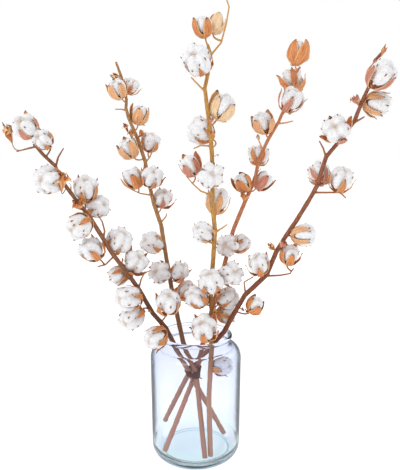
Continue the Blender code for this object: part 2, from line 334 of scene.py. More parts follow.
def tube(points: np.ndarray, radii: Sequence[float], sides: int) -> Skin:
    """A closed round tube through points.

    Args:
        points: The middle line.
        radii: A radius at each point.
        sides: How many sides it has.

    Returns:
        The tube, with flat ends.
    """
    rings = []
    runs = np.gradient(points, axis=0)
    side = Vector(runs[0]).orthogonal().normalized()
    for point, run, radius in zip(points, runs, radii):
        ahead = Vector(run).normalized()
        side = (side - ahead * side.dot(ahead)).normalized()
        other = ahead.cross(side)
        turns = [2 * math.pi * i / sides for i in range(sides)]
        rings.append([Vector(point) + (side * math.cos(a) + other * math.sin(a)) * radius for a in turns])
    faces = []
    last = (len(rings) - 1) * sides
    for low in range(0, last, sides):
        for j in range(sides):
            after = (j + 1) % sides
            faces.append((low + j, low + after, low + sides + after, low + sides + j))
    faces.append(tuple(reversed(range(sides))))
    faces.append(tuple(range(last, last + sides)))
    return Skin.of_faces([spot for ring in rings for spot in ring], faces)


def turned(profile: Sequence[tuple[float, float]], steps: int) -> Skin:
    """A body turned round Z from a profile that starts and ends on the axis, its outer side going up.

    Args:
        profile: Radius and height of each point.
        steps: How many steps make the turn.

    Returns:
        The closed body.
    """
    angles = np.arange(steps) * 2 * math.pi / steps
    rings = [[(r * math.cos(a), r * math.sin(a), z) for a in angles] for r, z in profile[1:-1]]
    points = [(0, 0, profile[0][1]), *(spot for ring in rings for spot in ring), (0, 0, profile[-1][1])]
    last = len(points) - 1
    faces = []
    for j in range(steps):
        after = (j + 1) % steps
        faces.append((0, 1 + after, 1 + j))
        for i in range(len(rings) - 1):
            low, high = 1 + i * steps, 1 + (i + 1) * steps
            faces.append((low + j, low + after, high + after, high + j))
        top = 1 + (len(rings) - 1) * steps
        faces.append((top + j, top + after, last))
    return Skin.of_faces(points, faces)


# ---------------------------------------------------------------- node trees


class Board:
    """Adds nodes to one tree and links them."""

    def __init__(self, tree: bpy.types.NodeTree) -> None:
        """Starts work on a tree."""
        self.tree = tree

    def add(self, kind: str, inputs: dict | None = None, **settings: object) -> bpy.types.Node:
        """A new node.

        Args:
            kind: The node's type name.
            inputs: Values, or output sockets to link from, by the input's name or number.
            **settings: The node's own settings.

        Returns:
            The node.
        """
        node = self.tree.nodes.new(kind)
        for name, value in settings.items():
            setattr(node, name, value)
        for key, value in (inputs or {}).items():
            if isinstance(value, bpy.types.NodeSocket):
                self.tree.links.new(value, node.inputs[key])
            else:
                node.inputs[key].default_value = value
        return node

    def socket(self, name: str, kind: str, out: bool = False, value: object = None) -> None:
        """A named input or output of the tree.

        Args:
            name: The socket's name.
            kind: The socket's type, without its NodeSocket prefix.
            out: Whether it is an output.
            value: Its starting value, where it has one.
        """
        made = self.tree.interface.new_socket(
            name=name, in_out="OUTPUT" if out else "INPUT", socket_type=f"NodeSocket{kind}")
        if value is not None:
            made.default_value = value

    def maths(self, operation: str, first: object, second: object = 0.0) -> bpy.types.NodeSocket:
        """The result of one sum, whose numbers are values or sockets."""
        return self.add("ShaderNodeMath", {0: first, 1: second}, operation=operation).outputs[0]

    def span(self, value: bpy.types.NodeSocket, **ends: object) -> bpy.types.NodeSocket:
        """A value carried from one span to another, whose ends are named with _ for a space."""
        inputs = {label.replace("_", " "): end for label, end in ends.items()}
        return self.add("ShaderNodeMapRange", {"Value": value, **inputs}).outputs[0]

    def blend(self, share: bpy.types.NodeSocket, first: bpy.types.NodeSocket,
              second: bpy.types.NodeSocket) -> bpy.types.NodeSocket:
        """Two colours mixed by a share."""
        return self.add("ShaderNodeMix", {0: share, 6: first, 7: second}, data_type="RGBA").outputs[2]

    def link(self, start: bpy.types.NodeSocket, end: bpy.types.NodeSocket) -> None:
        """Links two sockets."""
        self.tree.links.new(start, end)

    def closed(self, shape: bpy.types.NodeSocket, finish: bpy.types.NodeSocket,
               result: bpy.types.NodeSocket) -> bpy.types.NodeTree:
        """Ends a geometry tree: its copies become real and take their finish.

        Args:
            shape: The geometry to give out.
            finish: The material that it takes.
            result: The tree's output.

        Returns:
            The whole tree.
        """
        real = self.add("GeometryNodeRealizeInstances", {0: shape})
        dressed = self.add("GeometryNodeSetMaterial", {"Geometry": real.outputs[0], "Material": finish})
        self.link(dressed.outputs[0], result)
        return self.tree


def tree_of(kind: str, name: str, inputs: Sequence[tuple], outputs: Sequence[tuple]) -> tuple:
    """A new node tree with its sockets.

    Args:
        kind: The tree's type name.
        name: The tree's name.
        inputs: Name, type and starting value of each input.
        outputs: Name and type of each output.

    Returns:
        The board, the sockets that give the inputs, and the sockets that take the outputs.
    """
    board = Board(bpy.data.node_groups.new(name, kind))
    for label, sort, value in inputs:
        board.socket(label, sort, value=value)
    for label, sort in outputs:
        board.socket(label, sort, out=True)
    return board, board.add("NodeGroupInput").outputs, board.add("NodeGroupOutput").inputs


def run_tree(mesh: bpy.types.Mesh | bpy.types.Curve, tree: bpy.types.NodeTree,
             values: dict) -> bpy.types.Mesh:
    """The mesh that a geometry tree makes of another.

    Args:
        mesh: What goes in.
        tree: The geometry tree.
        values: The tree's inputs by name.

    Returns:
        The result as a plain mesh.
    """
    thing = shown("in_work", mesh)
    modifier = thing.modifiers.new("tree", "NODES")
    modifier.node_group = tree
    for item in tree.interface.items_tree:
        if item.item_type == "SOCKET" and item.in_out == "INPUT" and item.name in values:
            modifier[item.identifier] = values[item.name]
    return finished_mesh(thing)


def ring_tree() -> bpy.types.NodeTree:
    """The tree that sets copies of a valve round Z, each leaning and turned a little its own way."""
    board, given, result = tree_of(
        "GeometryNodeTree", "valve_ring",
        [("Valve", "Geometry", None), ("Count", "Int", 5), ("Unevenness", "Float", 0.1), ("Seed", "Int", 1),
         ("Finish", "Material", None)],
        [("Ring", "Geometry")])
    spots = board.add("GeometryNodePoints", {"Count": given["Count"]})
    number = board.add("GeometryNodeInputIndex").outputs[0]
    uneven = given["Unevenness"]
    seeds = [board.maths("ADD", given["Seed"], step) for step in (0, 50, 90)]
    wobble = [board.add("FunctionNodeRandomValue", {2: -1.0, 3: 1.0, "ID": number, "Seed": seed},
                        data_type="FLOAT").outputs[1] for seed in seeds]
    lean, turned_by = (board.maths("MULTIPLY", value, uneven) for value in wobble[:2])
    step = board.maths("DIVIDE", 2 * math.pi, given["Count"])
    spin = board.maths("ADD", board.maths("MULTIPLY", number, step), turned_by)
    turn = board.add("ShaderNodeCombineXYZ", {"Y": lean, "Z": spin}).outputs[0]
    grown_by = board.maths("MULTIPLY", wobble[2], board.maths("MULTIPLY", uneven, 0.6))
    size = board.maths("ADD", 1.0, grown_by)
    copies = board.add("GeometryNodeInstanceOnPoints", {
        "Points": spots.outputs[0], "Instance": given["Valve"], "Rotation": turn, "Scale": size})
    return board.closed(copies.outputs[0], given["Finish"], result[0])


def fuzz_tree() -> bpy.types.NodeTree:
    """The tree that grows short tapered wisps on a surface, leaning every way."""
    board, given, result = tree_of(
        "GeometryNodeTree", "fuzz",
        [("Ground", "Geometry", None), ("Density", "Float", 1e5), ("Length", "Float", 0.004),
         ("Thickness", "Float", 0.0001), ("Lean", "Float", 1.0), ("Seed", "Int", 1),
         ("Finish", "Material", None)],
        [("Wisps", "Geometry")])
    spots = board.add("GeometryNodeDistributePointsOnFaces", {
        "Mesh": given["Ground"], "Density": given["Density"], "Seed": given["Seed"]})
    wisp = board.add("GeometryNodeMeshCone", {
        "Vertices": 3, "Side Segments": 2, "Radius Top": 0.0, "Radius Bottom": given["Thickness"],
        "Depth": given["Length"]})
    lean = given["Lean"]
    back = board.maths("MULTIPLY", lean, -1.0)
    low = board.add("ShaderNodeCombineXYZ", {"X": back, "Y": back}).outputs[0]
    high = board.add("ShaderNodeCombineXYZ", {"X": lean, "Y": lean}).outputs[0]
    tilt = board.add("FunctionNodeRandomValue", {0: low, 1: high, "Seed": given["Seed"]},
                     data_type="FLOAT_VECTOR").outputs[0]
    turn = board.add("FunctionNodeRotateRotation", {
        "Rotation": spots.outputs["Rotation"], "Rotate By": tilt}, rotation_space="LOCAL").outputs[0]
    size = board.add("FunctionNodeRandomValue", {2: 0.45, 3: 1.25, "Seed": given["Seed"]},
                     data_type="FLOAT").outputs[1]
    copies = board.add("GeometryNodeInstanceOnPoints", {
        "Points": spots.outputs["Points"], "Instance": wisp.outputs["Mesh"], "Rotation": turn, "Scale": size})
    return board.closed(copies.outputs[0], given["Finish"], result[0])


def lenticel_tree() -> bpy.types.NodeTree:
    """The tree that sets low oval pores on the bark."""
    board, given, result = tree_of(
        "GeometryNodeTree", "lenticels",
        [("Bark", "Geometry", None), ("Density", "Float", 1e4), ("Size", "Float", 0.0006),
         ("Gap", "Float", 0.003), ("Seed", "Int", 1), ("Finish", "Material", None)],
        [("Pores", "Geometry")])
    spots = board.add("GeometryNodeDistributePointsOnFaces", {
        "Mesh": given["Bark"], "Distance Min": given["Gap"], "Density Max": given["Density"],
        "Seed": given["Seed"]}, distribute_method="POISSON").outputs
    ball = board.add("GeometryNodeMeshIcoSphere", {"Radius": given["Size"], "Subdivisions": 1})
    shape = board.add("FunctionNodeRandomValue", {
        0: (0.7, 0.7, 0.25), 1: (1.0, 1.8, 0.5), "Seed": given["Seed"]}, data_type="FLOAT_VECTOR").outputs[0]
    copies = board.add("GeometryNodeInstanceOnPoints", {
        "Points": spots["Points"], "Instance": ball.outputs["Mesh"], "Rotation": spots["Rotation"],
        "Scale": shape})
    return board.closed(copies.outputs[0], given["Finish"], result[0])


def twine_tree() -> bpy.types.NodeTree:
    """The tree that lays a two-ply twisted twine along a curve."""
    board, given, result = tree_of(
        "GeometryNodeTree", "two_ply_twine",
        [("Route", "Geometry", None), ("Radius", "Float", 0.0007), ("Twist", "Float", 900.0),
         ("Spacing", "Float", 0.0007), ("Finish", "Material", None)],
        [("Twine", "Geometry")])
    fine = board.add("GeometryNodeResampleCurve", {
        "Curve": given["Route"], "Length": given["Spacing"]}, mode="LENGTH")
    length = board.add("GeometryNodeSplineParameter").outputs["Length"]
    tilt = board.maths("MULTIPLY", length, given["Twist"])
    twisted = board.add("GeometryNodeSetCurveTilt", {"Curve": fine.outputs[0], "Tilt": tilt})
    ply = board.maths("MULTIPLY", given["Radius"], 0.55)
    ring = board.add("GeometryNodeCurvePrimitiveCircle", {"Resolution": 6, "Radius": ply})
    both = board.add("GeometryNodeJoinGeometry")
    for sign in (-0.5, 0.5):
        reach = board.maths("MULTIPLY", given["Radius"], sign)
        spot = board.add("ShaderNodeCombineXYZ", {"X": reach}).outputs[0]
        moved = board.add("GeometryNodeTransform", {"Geometry": ring.outputs["Curve"], "Translation": spot})
        board.link(moved.outputs[0], both.inputs[0])
    body = board.add("GeometryNodeCurveToMesh", {
        "Curve": twisted.outputs[0], "Profile Curve": both.outputs[0], "Fill Caps": True})
    return board.closed(body.outputs[0], given["Finish"], result[0])


# ---------------------------------------------------------------- finishes


def mottle_group() -> bpy.types.NodeTree:
    """A shared effect: two colours in soft uneven patches."""
    board, given, result = tree_of(
        "ShaderNodeTree", "mottling",
        [("Vector", "Vector", None), ("Scale", "Float", 100.0), ("Detail", "Float", 4.0),
         ("Spread", "Float", 0.25), ("Dark", "Color", (0, 0, 0, 1)), ("Light", "Color", (1, 1, 1, 1))],
        [("Colour", "Color"), ("Mask", "Float")])
    patches = board.add("ShaderNodeTexNoise", {
        "Vector": given["Vector"], "Scale": given["Scale"], "Detail": given["Detail"]})
    low = board.maths("SUBTRACT", 0.5, given["Spread"])
    high = board.maths("ADD", 0.5, given["Spread"])
    share = board.span(patches.outputs[0], From_Min=low, From_Max=high)
    board.link(board.blend(share, given["Dark"], given["Light"]), result["Colour"])
    board.link(share, result["Mask"])
    return board.tree


def stain_group() -> bpy.types.NodeTree:
    """A shared effect: a colour that takes over between two levels of a mask."""
    board, given, result = tree_of(
        "ShaderNodeTree", "stain",
        [("Mask", "Float", 0.0), ("Start", "Float", 0.0), ("End", "Float", 1.0), ("Strength", "Float", 1.0),
         ("Colour", "Color", (1, 1, 1, 1)), ("Stain", "Color", (0, 0, 0, 1))],
        [("Colour", "Color")])
    share = board.add("ShaderNodeMapRange", {
        "Value": given["Mask"], "From Min": given["Start"], "From Max": given["End"]},
        interpolation_type="SMOOTHSTEP")
    strength = board.maths("MULTIPLY", share.outputs[0], given["Strength"])
    board.link(board.blend(strength, given["Colour"], given["Stain"]), result["Colour"])
    return board.tree


def relief_group() -> bpy.types.NodeTree:
    """A shared effect: the height of coarse and fine relief together."""
    board, given, result = tree_of(
        "ShaderNodeTree", "relief",
        [("Vector", "Vector", None), ("Coarse", "Float", 100.0), ("Fine", "Float", 600.0),
         ("Share", "Float", 0.4), ("Warp", "Float", 0.0)],
        [("Height", "Float")])
    waves = [board.add("ShaderNodeTexNoise", {
        "Vector": given["Vector"], "Scale": given[label], "Detail": 3.0,
        "Distortion": given["Warp"]}).outputs[0] for label in ("Coarse", "Fine")]
    fine = board.maths("MULTIPLY", waves[1], given["Share"])
    board.link(board.maths("ADD", waves[0], fine), result["Height"])
    return board.tree


@dataclass(frozen=True)
class Shelf:
    """The node trees that the pieces and finishes share."""

    ring: bpy.types.NodeTree
    fuzz: bpy.types.NodeTree
    lenticels: bpy.types.NodeTree
    twine: bpy.types.NodeTree
    mottle: bpy.types.NodeTree
    stain: bpy.types.NodeTree
    relief: bpy.types.NodeTree

    @classmethod
    def stocked(cls) -> "Shelf":
        """A shelf with every tree built once."""
        return cls(ring_tree(), fuzz_tree(), lenticel_tree(), twine_tree(), mottle_group(), stain_group(),
                   relief_group())


class Recipe:
    """A material in the making: its board, its shader and its usual coordinates."""

    def __init__(self, name: str, shelf: Shelf, **plain: object) -> None:
        """Starts a material.

        Args:
            name: The material's name.
            shelf: The shared node trees.
            **plain: Values for the shader's own sockets, with _ for a space.
        """
        self.material = bpy.data.materials.new(name)
        self.material.use_nodes = True
        self.board = Board(self.material.node_tree)
        self.shelf = shelf
        self.shader = self.material.node_tree.nodes["Principled BSDF"]
        for label, value in plain.items():
            self.shader.inputs[label.replace("_", " ")].default_value = value
        self.place = self.board.add("ShaderNodeTexCoord").outputs["Object"]

    def mark(self, name: str, vector: bool = False) -> bpy.types.NodeSocket:
        """A mark on the mesh, as a number or a vector."""
        node = self.board.add("ShaderNodeAttribute", attribute_name=name)
        return node.outputs["Vector" if vector else "Fac"]

    def group(self, tree: bpy.types.NodeTree, inputs: dict) -> bpy.types.Node:
        """A shared effect with its own values."""
        return self.board.add("ShaderNodeGroup", inputs, node_tree=tree)

    def mottle(self, vector: bpy.types.NodeSocket, scale: float, dark: object, light: object,
               spread: float = 0.2) -> bpy.types.Node:
        """Soft patches of two colours, each a colour or a socket."""
        return self.group(self.shelf.mottle, {"Vector": vector, "Scale": scale, "Spread": spread,
                                              "Dark": as_input(dark), "Light": as_input(light)})

    def stain(self, mask: object, start: float, end: float, colour: object, stain: object,
              strength: float = 1.0) -> bpy.types.NodeSocket:
        """A colour with another that takes over as the mask rises."""
        return self.group(self.shelf.stain, {
            "Mask": mask, "Start": start, "End": end, "Colour": as_input(colour), "Stain": as_input(stain),
            "Strength": strength}).outputs["Colour"]

    def relief(self, vector: bpy.types.NodeSocket, coarse: float, fine: float, depth: float,
               strength: float = 1.0, share: float = 0.4, warp: float = 0.0) -> None:
        """Bumps on the surface.

        Args:
            vector: Where the pattern is read.
            coarse: The scale of the coarse relief.
            fine: The scale of the fine relief.
            depth: The distance from low to high, in metres.
            strength: How strongly it shows.
            share: The fine relief's share.
            warp: How far the pattern is warped.
        """
        height = self.group(self.shelf.relief, {
            "Vector": vector, "Coarse": coarse, "Fine": fine, "Share": share, "Warp": warp}).outputs["Height"]
        bump = self.board.add("ShaderNodeBump", {"Strength": strength, "Distance": depth, "Height": height})
        self.board.link(bump.outputs["Normal"], self.shader.inputs["Normal"])

    def rough(self, mask: bpy.types.NodeSocket, low: float, high: float) -> None:
        """Roughness that follows a mask between two values."""
        self.board.link(self.board.span(mask, To_Min=low, To_Max=high), self.shader.inputs["Roughness"])

    def colour(self, socket: bpy.types.NodeSocket) -> bpy.types.Material:
        """Sets the base colour and returns the material."""
        self.board.link(socket, self.shader.inputs["Base Color"])
        return self.material


def as_input(value: object) -> object:
    """A colour with alpha, or the socket that was given."""
    return value if isinstance(value, bpy.types.NodeSocket) else rgba(value)


@dataclass(frozen=True)
class CottonFinish:
    """Loose white lint, greyer and warmer deep between the locks, where shade is painted on together with
    dirtier lint.
    """

    light: Colour = srgb(238, 238, 239)
    shade: Colour = srgb(221, 221, 224)
    # Painted shade deep between the locks, mixed with the colour of dirtier lint there.
    deep: Colour = srgb(202, 184, 168)
    speck: Colour = srgb(176, 132, 92)
    patch_scale: float = 260.0
    speck_scale: float = 340.0
    curl_scale: float = 420.0
    fibre_scale: float = 1500.0
    relief_depth: float = 0.0009

    def material(self, shelf: Shelf) -> bpy.types.Material:
        """Builds the finish.

        Args:
            shelf: The shared node trees.

        Returns:
            The material.
        """
        recipe = Recipe("cotton_lint", shelf, Roughness=0.95, Sheen_Weight=0.2, Subsurface_Weight=0.12,
                        Subsurface_Scale=0.002, Subsurface_Radius=(1.0, 0.95, 0.9))
        patches = recipe.mottle(recipe.place, self.patch_scale, self.shade, self.light, spread=0.16)
        recipe.relief(recipe.place, self.curl_scale, self.fibre_scale, self.relief_depth, strength=0.75,
                      share=0.5, warp=0.6)
        recipe.rough(patches.outputs["Mask"], 0.98, 0.86)
        # Painted shade between the locks, partly dirtier lint, following the depth mark.
        furrow_shade_and_soil = recipe.stain(recipe.mark("depth"), 0.3, 1.0, patches.outputs["Colour"], self.deep, 0.7)
        trash = recipe.mottle(recipe.place, self.speck_scale, furrow_shade_and_soil, furrow_shade_and_soil, spread=0.3)
        return recipe.colour(recipe.stain(trash.outputs["Mask"], 0.93, 1.0, furrow_shade_and_soil, self.speck, strength=0.6))


@dataclass(frozen=True)
class BurrFinish:
    """The dry wall of a boll: one colour inside, one outside, a pale painted highlight along the edges and
    dark at the tips.
    """

    name: str
    inside: Colour
    inside_deep: Colour
    outside: Colour
    outside_deep: Colour
    # A pale highlight painted along the rims.
    edge: Colour = srgb(240, 200, 150)
    tip: Colour = srgb(70, 40, 28)
    veins_across: float = 5.0
    veins_along: float = 1.6
    blotch_scale: float = 420.0
    edge_band: tuple = (0.70, 1.0)
    seat_band: tuple = (0.78, 1.0)
    tip_band: tuple = (0.84, 0.97)
    relief_depth: float = 0.0006

    def material(self, shelf: Shelf) -> bpy.types.Material:
        """Builds the finish.

        Args:
            shelf: The shared node trees.

        Returns:
            The material.
        """
        recipe = Recipe(self.name, shelf, Roughness=0.6, Specular_IOR_Level=0.35)
        board = recipe.board
        rim, tip, side = recipe.mark("rim"), recipe.mark("tip"), recipe.mark("side")
        vein = board.add("ShaderNodeCombineXYZ", {
            "X": board.maths("MULTIPLY", side, self.veins_across),
            "Y": board.maths("MULTIPLY", tip, self.veins_along), "Z": recipe.mark("batch")}).outputs[0]
        inner = recipe.mottle(vein, 1.6, self.inside_deep, self.inside)
        outer = recipe.mottle(vein, 1.9, self.outside_deep, self.outside)
        wall = recipe.stain(recipe.mark("inside"), 0.2, 0.8, outer.outputs["Colour"], inner.outputs["Colour"])
        blotched = recipe.mottle(recipe.place, self.blotch_scale, wall, wall)
        shaded = recipe.stain(blotched.outputs["Mask"], 0.35, 0.0, wall, self.inside_deep, strength=0.45)
        # A pale highlight painted along the rims of the valves, teeth and bracts.
        rim_highlighted = recipe.stain(rim, *self.edge_band, shaded, self.edge, strength=0.8)
        root = board.maths("SUBTRACT", 1.0, tip)
        rooted = recipe.stain(root, *self.seat_band, rim_highlighted, self.outside, strength=0.6)
        recipe.relief(vein, 4.0, 12.0, self.relief_depth, strength=0.8)
        recipe.rough(inner.outputs["Mask"], 0.5, 0.72)
        return recipe.colour(recipe.stain(tip, *self.tip_band, rooted, self.tip, strength=0.9))


@dataclass(frozen=True)
class BarkFinish:
    """Streaked bark: dark low on the stem, lighter and reddish at the foot inside the vase, where a
    reflection of the glass is painted on, warmer on the thin twigs.

    Each band gives the height where a lower colour starts to show, going down, and where it is full.
    """

    stem: str
    dark: Colour
    light: Colour
    low: Colour
    # The bark inside the vase, painted lighter and pinker as the glass's reflection over it.
    foot: Colour
    twig: Colour
    low_band: tuple = (0.40, 0.24)
    foot_band: tuple = (0.21, 0.14)
    streak_scale: float = 3.2
    spot_scale: float = 130.0
    relief_depth: float = 0.0004

    def material(self, shelf: Shelf) -> bpy.types.Material:
        """Builds the finish.

        Args:
            shelf: The shared node trees.

        Returns:
            The material.
        """
        recipe = Recipe(f"bark_{self.stem}", shelf, Roughness=0.6, Specular_IOR_Level=0.4)
        grain = recipe.mark("grain", vector=True)
        streaks = recipe.mottle(grain, self.streak_scale, self.dark, self.light)
        height = recipe.board.add("ShaderNodeSeparateXYZ", {0: recipe.place}).outputs["Z"]
        down = recipe.board.maths("MULTIPLY", height, -1.0)
        colour = streaks.outputs["Colour"]
        # The second band paints the glass's reflection over the foot inside the vase.
        for band, lower, strength in ((self.low_band, self.low, 0.7), (self.foot_band, self.foot, 0.85)):
            colour = recipe.stain(down, -band[0], -band[1], colour, lower, strength)
        spots = recipe.mottle(recipe.place, self.spot_scale, colour, colour, spread=0.1)
        twigs = recipe.stain(recipe.mark("slender"), 0.1, 0.9, spots.outputs["Colour"], self.twig, 0.7)
        recipe.relief(grain, 6.0, 16.0, self.relief_depth, strength=0.9)
        recipe.rough(streaks.outputs["Mask"], 0.72, 0.5)
        return recipe.colour(recipe.stain(recipe.mark("pore"), 0.4, 0.6, twigs, self.light, strength=0.6))


@dataclass(frozen=True)
class TwineFinish:
    """Dark hairy twine, wet brown in its twists."""

    dark: Colour = srgb(68, 28, 12)
    light: Colour = srgb(132, 70, 36)
    fibre_scale: float = 900.0
    relief_depth: float = 0.0004

    def material(self, shelf: Shelf) -> bpy.types.Material:
        """Builds the finish.

        Args:
            shelf: The shared node trees.

        Returns:
            The material.
        """
        recipe = Recipe("dark_twine", shelf, Roughness=0.85)
        fibres = recipe.mottle(recipe.place, self.fibre_scale, self.dark, self.light)
        recipe.relief(recipe.place, 1200.0, 3000.0, self.relief_depth, strength=0.9)
        recipe.rough(fibres.outputs["Mask"], 0.9, 0.7)
        return recipe.colour(fibres.outputs["Colour"])


@dataclass(frozen=True)
class GlassFinish:
    """Clear glass with a blue-green body colour and the slow waves of a blown wall, with painted shade and a
    painted dark reflection where the wall is seen slantwise, and a painted reflected ring in the base.
    """

    body: Colour = (0.34, 0.62, 0.70)
    density: float = 9.0
    haze: Colour = srgb(240, 244, 251)
    face: Colour = srgb(248, 250, 254)
    # Bluer and darker where the wall is seen slantwise: partly the glass's colour through a longer path,
    # partly painted shade.
    slope: Colour = srgb(210, 220, 236)
    # A painted dark reflection along the wall's slantwise edges.
    edge: Colour = srgb(22, 32, 40)
    neck: Colour = srgb(230, 233, 247)
    base: Colour = srgb(240, 249, 249)
    # A dark teal ring painted low in the base: a painted reflection of the thick base's inner edge.
    ring: Colour = srgb(120, 170, 182)
    heel: tuple = (0.028, 0.046)
    thin_foot: tuple = (0.009, 0.020)
    thin_share: float = 0.5
    neck_heights: tuple = (0.10, 0.178)
    slope_slants: tuple = (0.20, 0.60)
    edge_slants: tuple = (0.38, 0.58)
    ring_radius: float = 0.0550
    ring_width: float = 0.0014
    ring_top: float = 0.014
    patch_scale: float = 14.0
    wave_scale: float = 30.0
    ripple_scale: float = 90.0
    wave_depth: float = 0.0012

    def material(self, shelf: Shelf) -> bpy.types.Material:
        """Builds the finish.

        Args:
            shelf: The shared node trees.

        Returns:
            The material.
        """
        recipe = Recipe("clear_glass", shelf, Roughness=0.0, IOR=1.38, Transmission_Weight=1.0, Metallic=0.0)
        board = recipe.board
        slant = board.add("ShaderNodeLayerWeight", {"Blend": 0.3}).outputs["Facing"]
        upright = board.add("ShaderNodeMapping", {
            "Vector": recipe.place, "Scale": (1.0, 1.0, 0.25)}).outputs[0]
        uneven = recipe.mottle(upright, self.patch_scale, self.haze, self.face, spread=0.3)
        height = board.add("ShaderNodeSeparateXYZ", {0: recipe.place}).outputs["Z"]
        tint = recipe.stain(height, *self.neck_heights, uneven.outputs["Colour"], self.neck, strength=0.8)
        tint = recipe.stain(height, self.heel[1], self.heel[0], tint, self.base)
        wall = board.span(height, From_Min=self.heel[0], From_Max=self.heel[1])
        # Painted by how slantwise the wall is seen: a bluer painted shade, then a dark painted reflection at
        # the edges, both left off the heel.
        tint = recipe.stain(slant, *self.slope_slants, tint, self.slope, wall)
        tint = recipe.stain(slant, *self.edge_slants, tint, self.edge, wall)
        flat = board.add("ShaderNodeMapping", {"Vector": recipe.place, "Scale": (1.0, 1.0, 0.0)}).outputs[0]
        reach = board.add("ShaderNodeVectorMath", {0: flat}, operation="LENGTH").outputs["Value"]
        off_reflected_ring = board.maths("ABSOLUTE", board.maths("SUBTRACT", reach, self.ring_radius))
        low = board.maths("LESS_THAN", height, self.ring_top)
        # Paints the reflected ring: a dark teal line low in the base, a painted reflection of its inner edge.
        tint = recipe.stain(off_reflected_ring, self.ring_width, self.ring_width / 3, tint, self.ring, low)
        recipe.relief(upright, self.wave_scale, self.ripple_scale, self.wave_depth, strength=0.4, share=0.2,
                      warp=0.3)
        depth = board.add("ShaderNodeVolumeAbsorption", {"Color": rgba(self.body), "Density": self.density})
        out = board.tree.nodes["Material Output"]
        path = board.add("ShaderNodeLightPath").outputs
        lit = board.maths("MAXIMUM", path["Is Shadow Ray"], path["Is Diffuse Ray"])
        thin = board.span(height, From_Min=self.thin_foot[1], From_Max=self.thin_foot[0],
                          To_Max=self.thin_share)
        outer = board.maths("GREATER_THAN", reach, self.ring_radius + self.ring_width)
        lit = board.maths("MAXIMUM", lit, board.maths("MULTIPLY", thin, outer))
        clear = board.add("ShaderNodeBsdfTransparent", {"Color": rgba(self.face)})
        passing = board.add("ShaderNodeMixShader", {0: lit, 1: recipe.shader.outputs[0], 2: clear.outputs[0]})
        board.link(passing.outputs[0], out.inputs["Surface"])
        board.link(depth.outputs[0], out.inputs["Volume"])
        return recipe.colour(tint)


# ---------------------------------------------------------------- the bolls


class Tint(Enum):
    """The colours that a burr has dried to."""

    ORANGE = BurrFinish(
        "burr_orange", inside=srgb(236, 140, 60), inside_deep=srgb(166, 72, 26),
        outside=srgb(240, 168, 108), outside_deep=srgb(176, 90, 44))
    PINK = BurrFinish(
        "burr_pink", inside=srgb(232, 148, 92), inside_deep=srgb(178, 84, 48),
        outside=srgb(228, 164, 140), outside_deep=srgb(170, 92, 82))
    BEIGE = BurrFinish(
        "burr_beige", inside=srgb(230, 156, 86), inside_deep=srgb(176, 92, 40),
        outside=srgb(246, 202, 156), outside_deep=srgb(208, 136, 86))
    STRAW = BurrFinish(
        "burr_straw", inside=srgb(230, 178, 108), inside_deep=srgb(190, 124, 62),
        outside=srgb(248, 226, 192), outside_deep=srgb(222, 180, 136))


@dataclass(frozen=True)
class BurrShape:
    """How far a burr has opened, in widths of its boll.

    Attributes:
        spine: Radius and height down a valve's middle, from its seat to its tip.
        half_width: Half of a valve's width at its widest.
        taper: How sharply a valve narrows to its tip.
        cotton: The size of the cotton.
        locks: How far the locks stand from the axis.
        teeth: How many thin dark-tipped bract teeth stand round the cotton.
    """

    spine: tuple
    half_width: float
    taper: float
    cotton: float
    locks: float
    teeth: int = 0


class Habit(Enum):
    """The ways that a boll has opened."""

    FLUFFY = BurrShape(
        ((0.03, -0.585), (0.17, -0.55), (0.32, -0.44), (0.42, -0.29), (0.47, -0.12), (0.48, 0.01),
         (0.50, 0.10)),
        0.10, 1.25, 1.07, 0.225, teeth=11)
    OPEN = BurrShape(
        ((0.03, -0.585), (0.18, -0.55), (0.35, -0.43), (0.46, -0.24), (0.50, -0.04), (0.51, 0.12),
         (0.57, 0.25)),
        0.14, 1.1, 1.0, 0.22, teeth=7)
    CUPPED = BurrShape(
        ((0.03, -0.585), (0.21, -0.54), (0.40, -0.38), (0.50, -0.14), (0.52, 0.08), (0.50, 0.24),
         (0.53, 0.35)),
        0.22, 0.9, 0.94, 0.20, teeth=4)
    HUSK = BurrShape(
        ((0.03, -0.585), (0.20, -0.53), (0.37, -0.36), (0.45, -0.13), (0.46, 0.07), (0.42, 0.24),
         (0.36, 0.37)),
        0.27, 1.0, 0.84, 0.17)


@dataclass(frozen=True)
class Look:
    """How one boll looks.

    Attributes:
        habit: How it has opened.
        tint: What colour its burr has dried to.
        spin: How far its valves are turned from facing the front, in degrees.
        valves: How many valves and locks it has.
    """

    habit: Habit
    tint: Tint = Tint.ORANGE
    spin: float = 0.0
    valves: int = 5


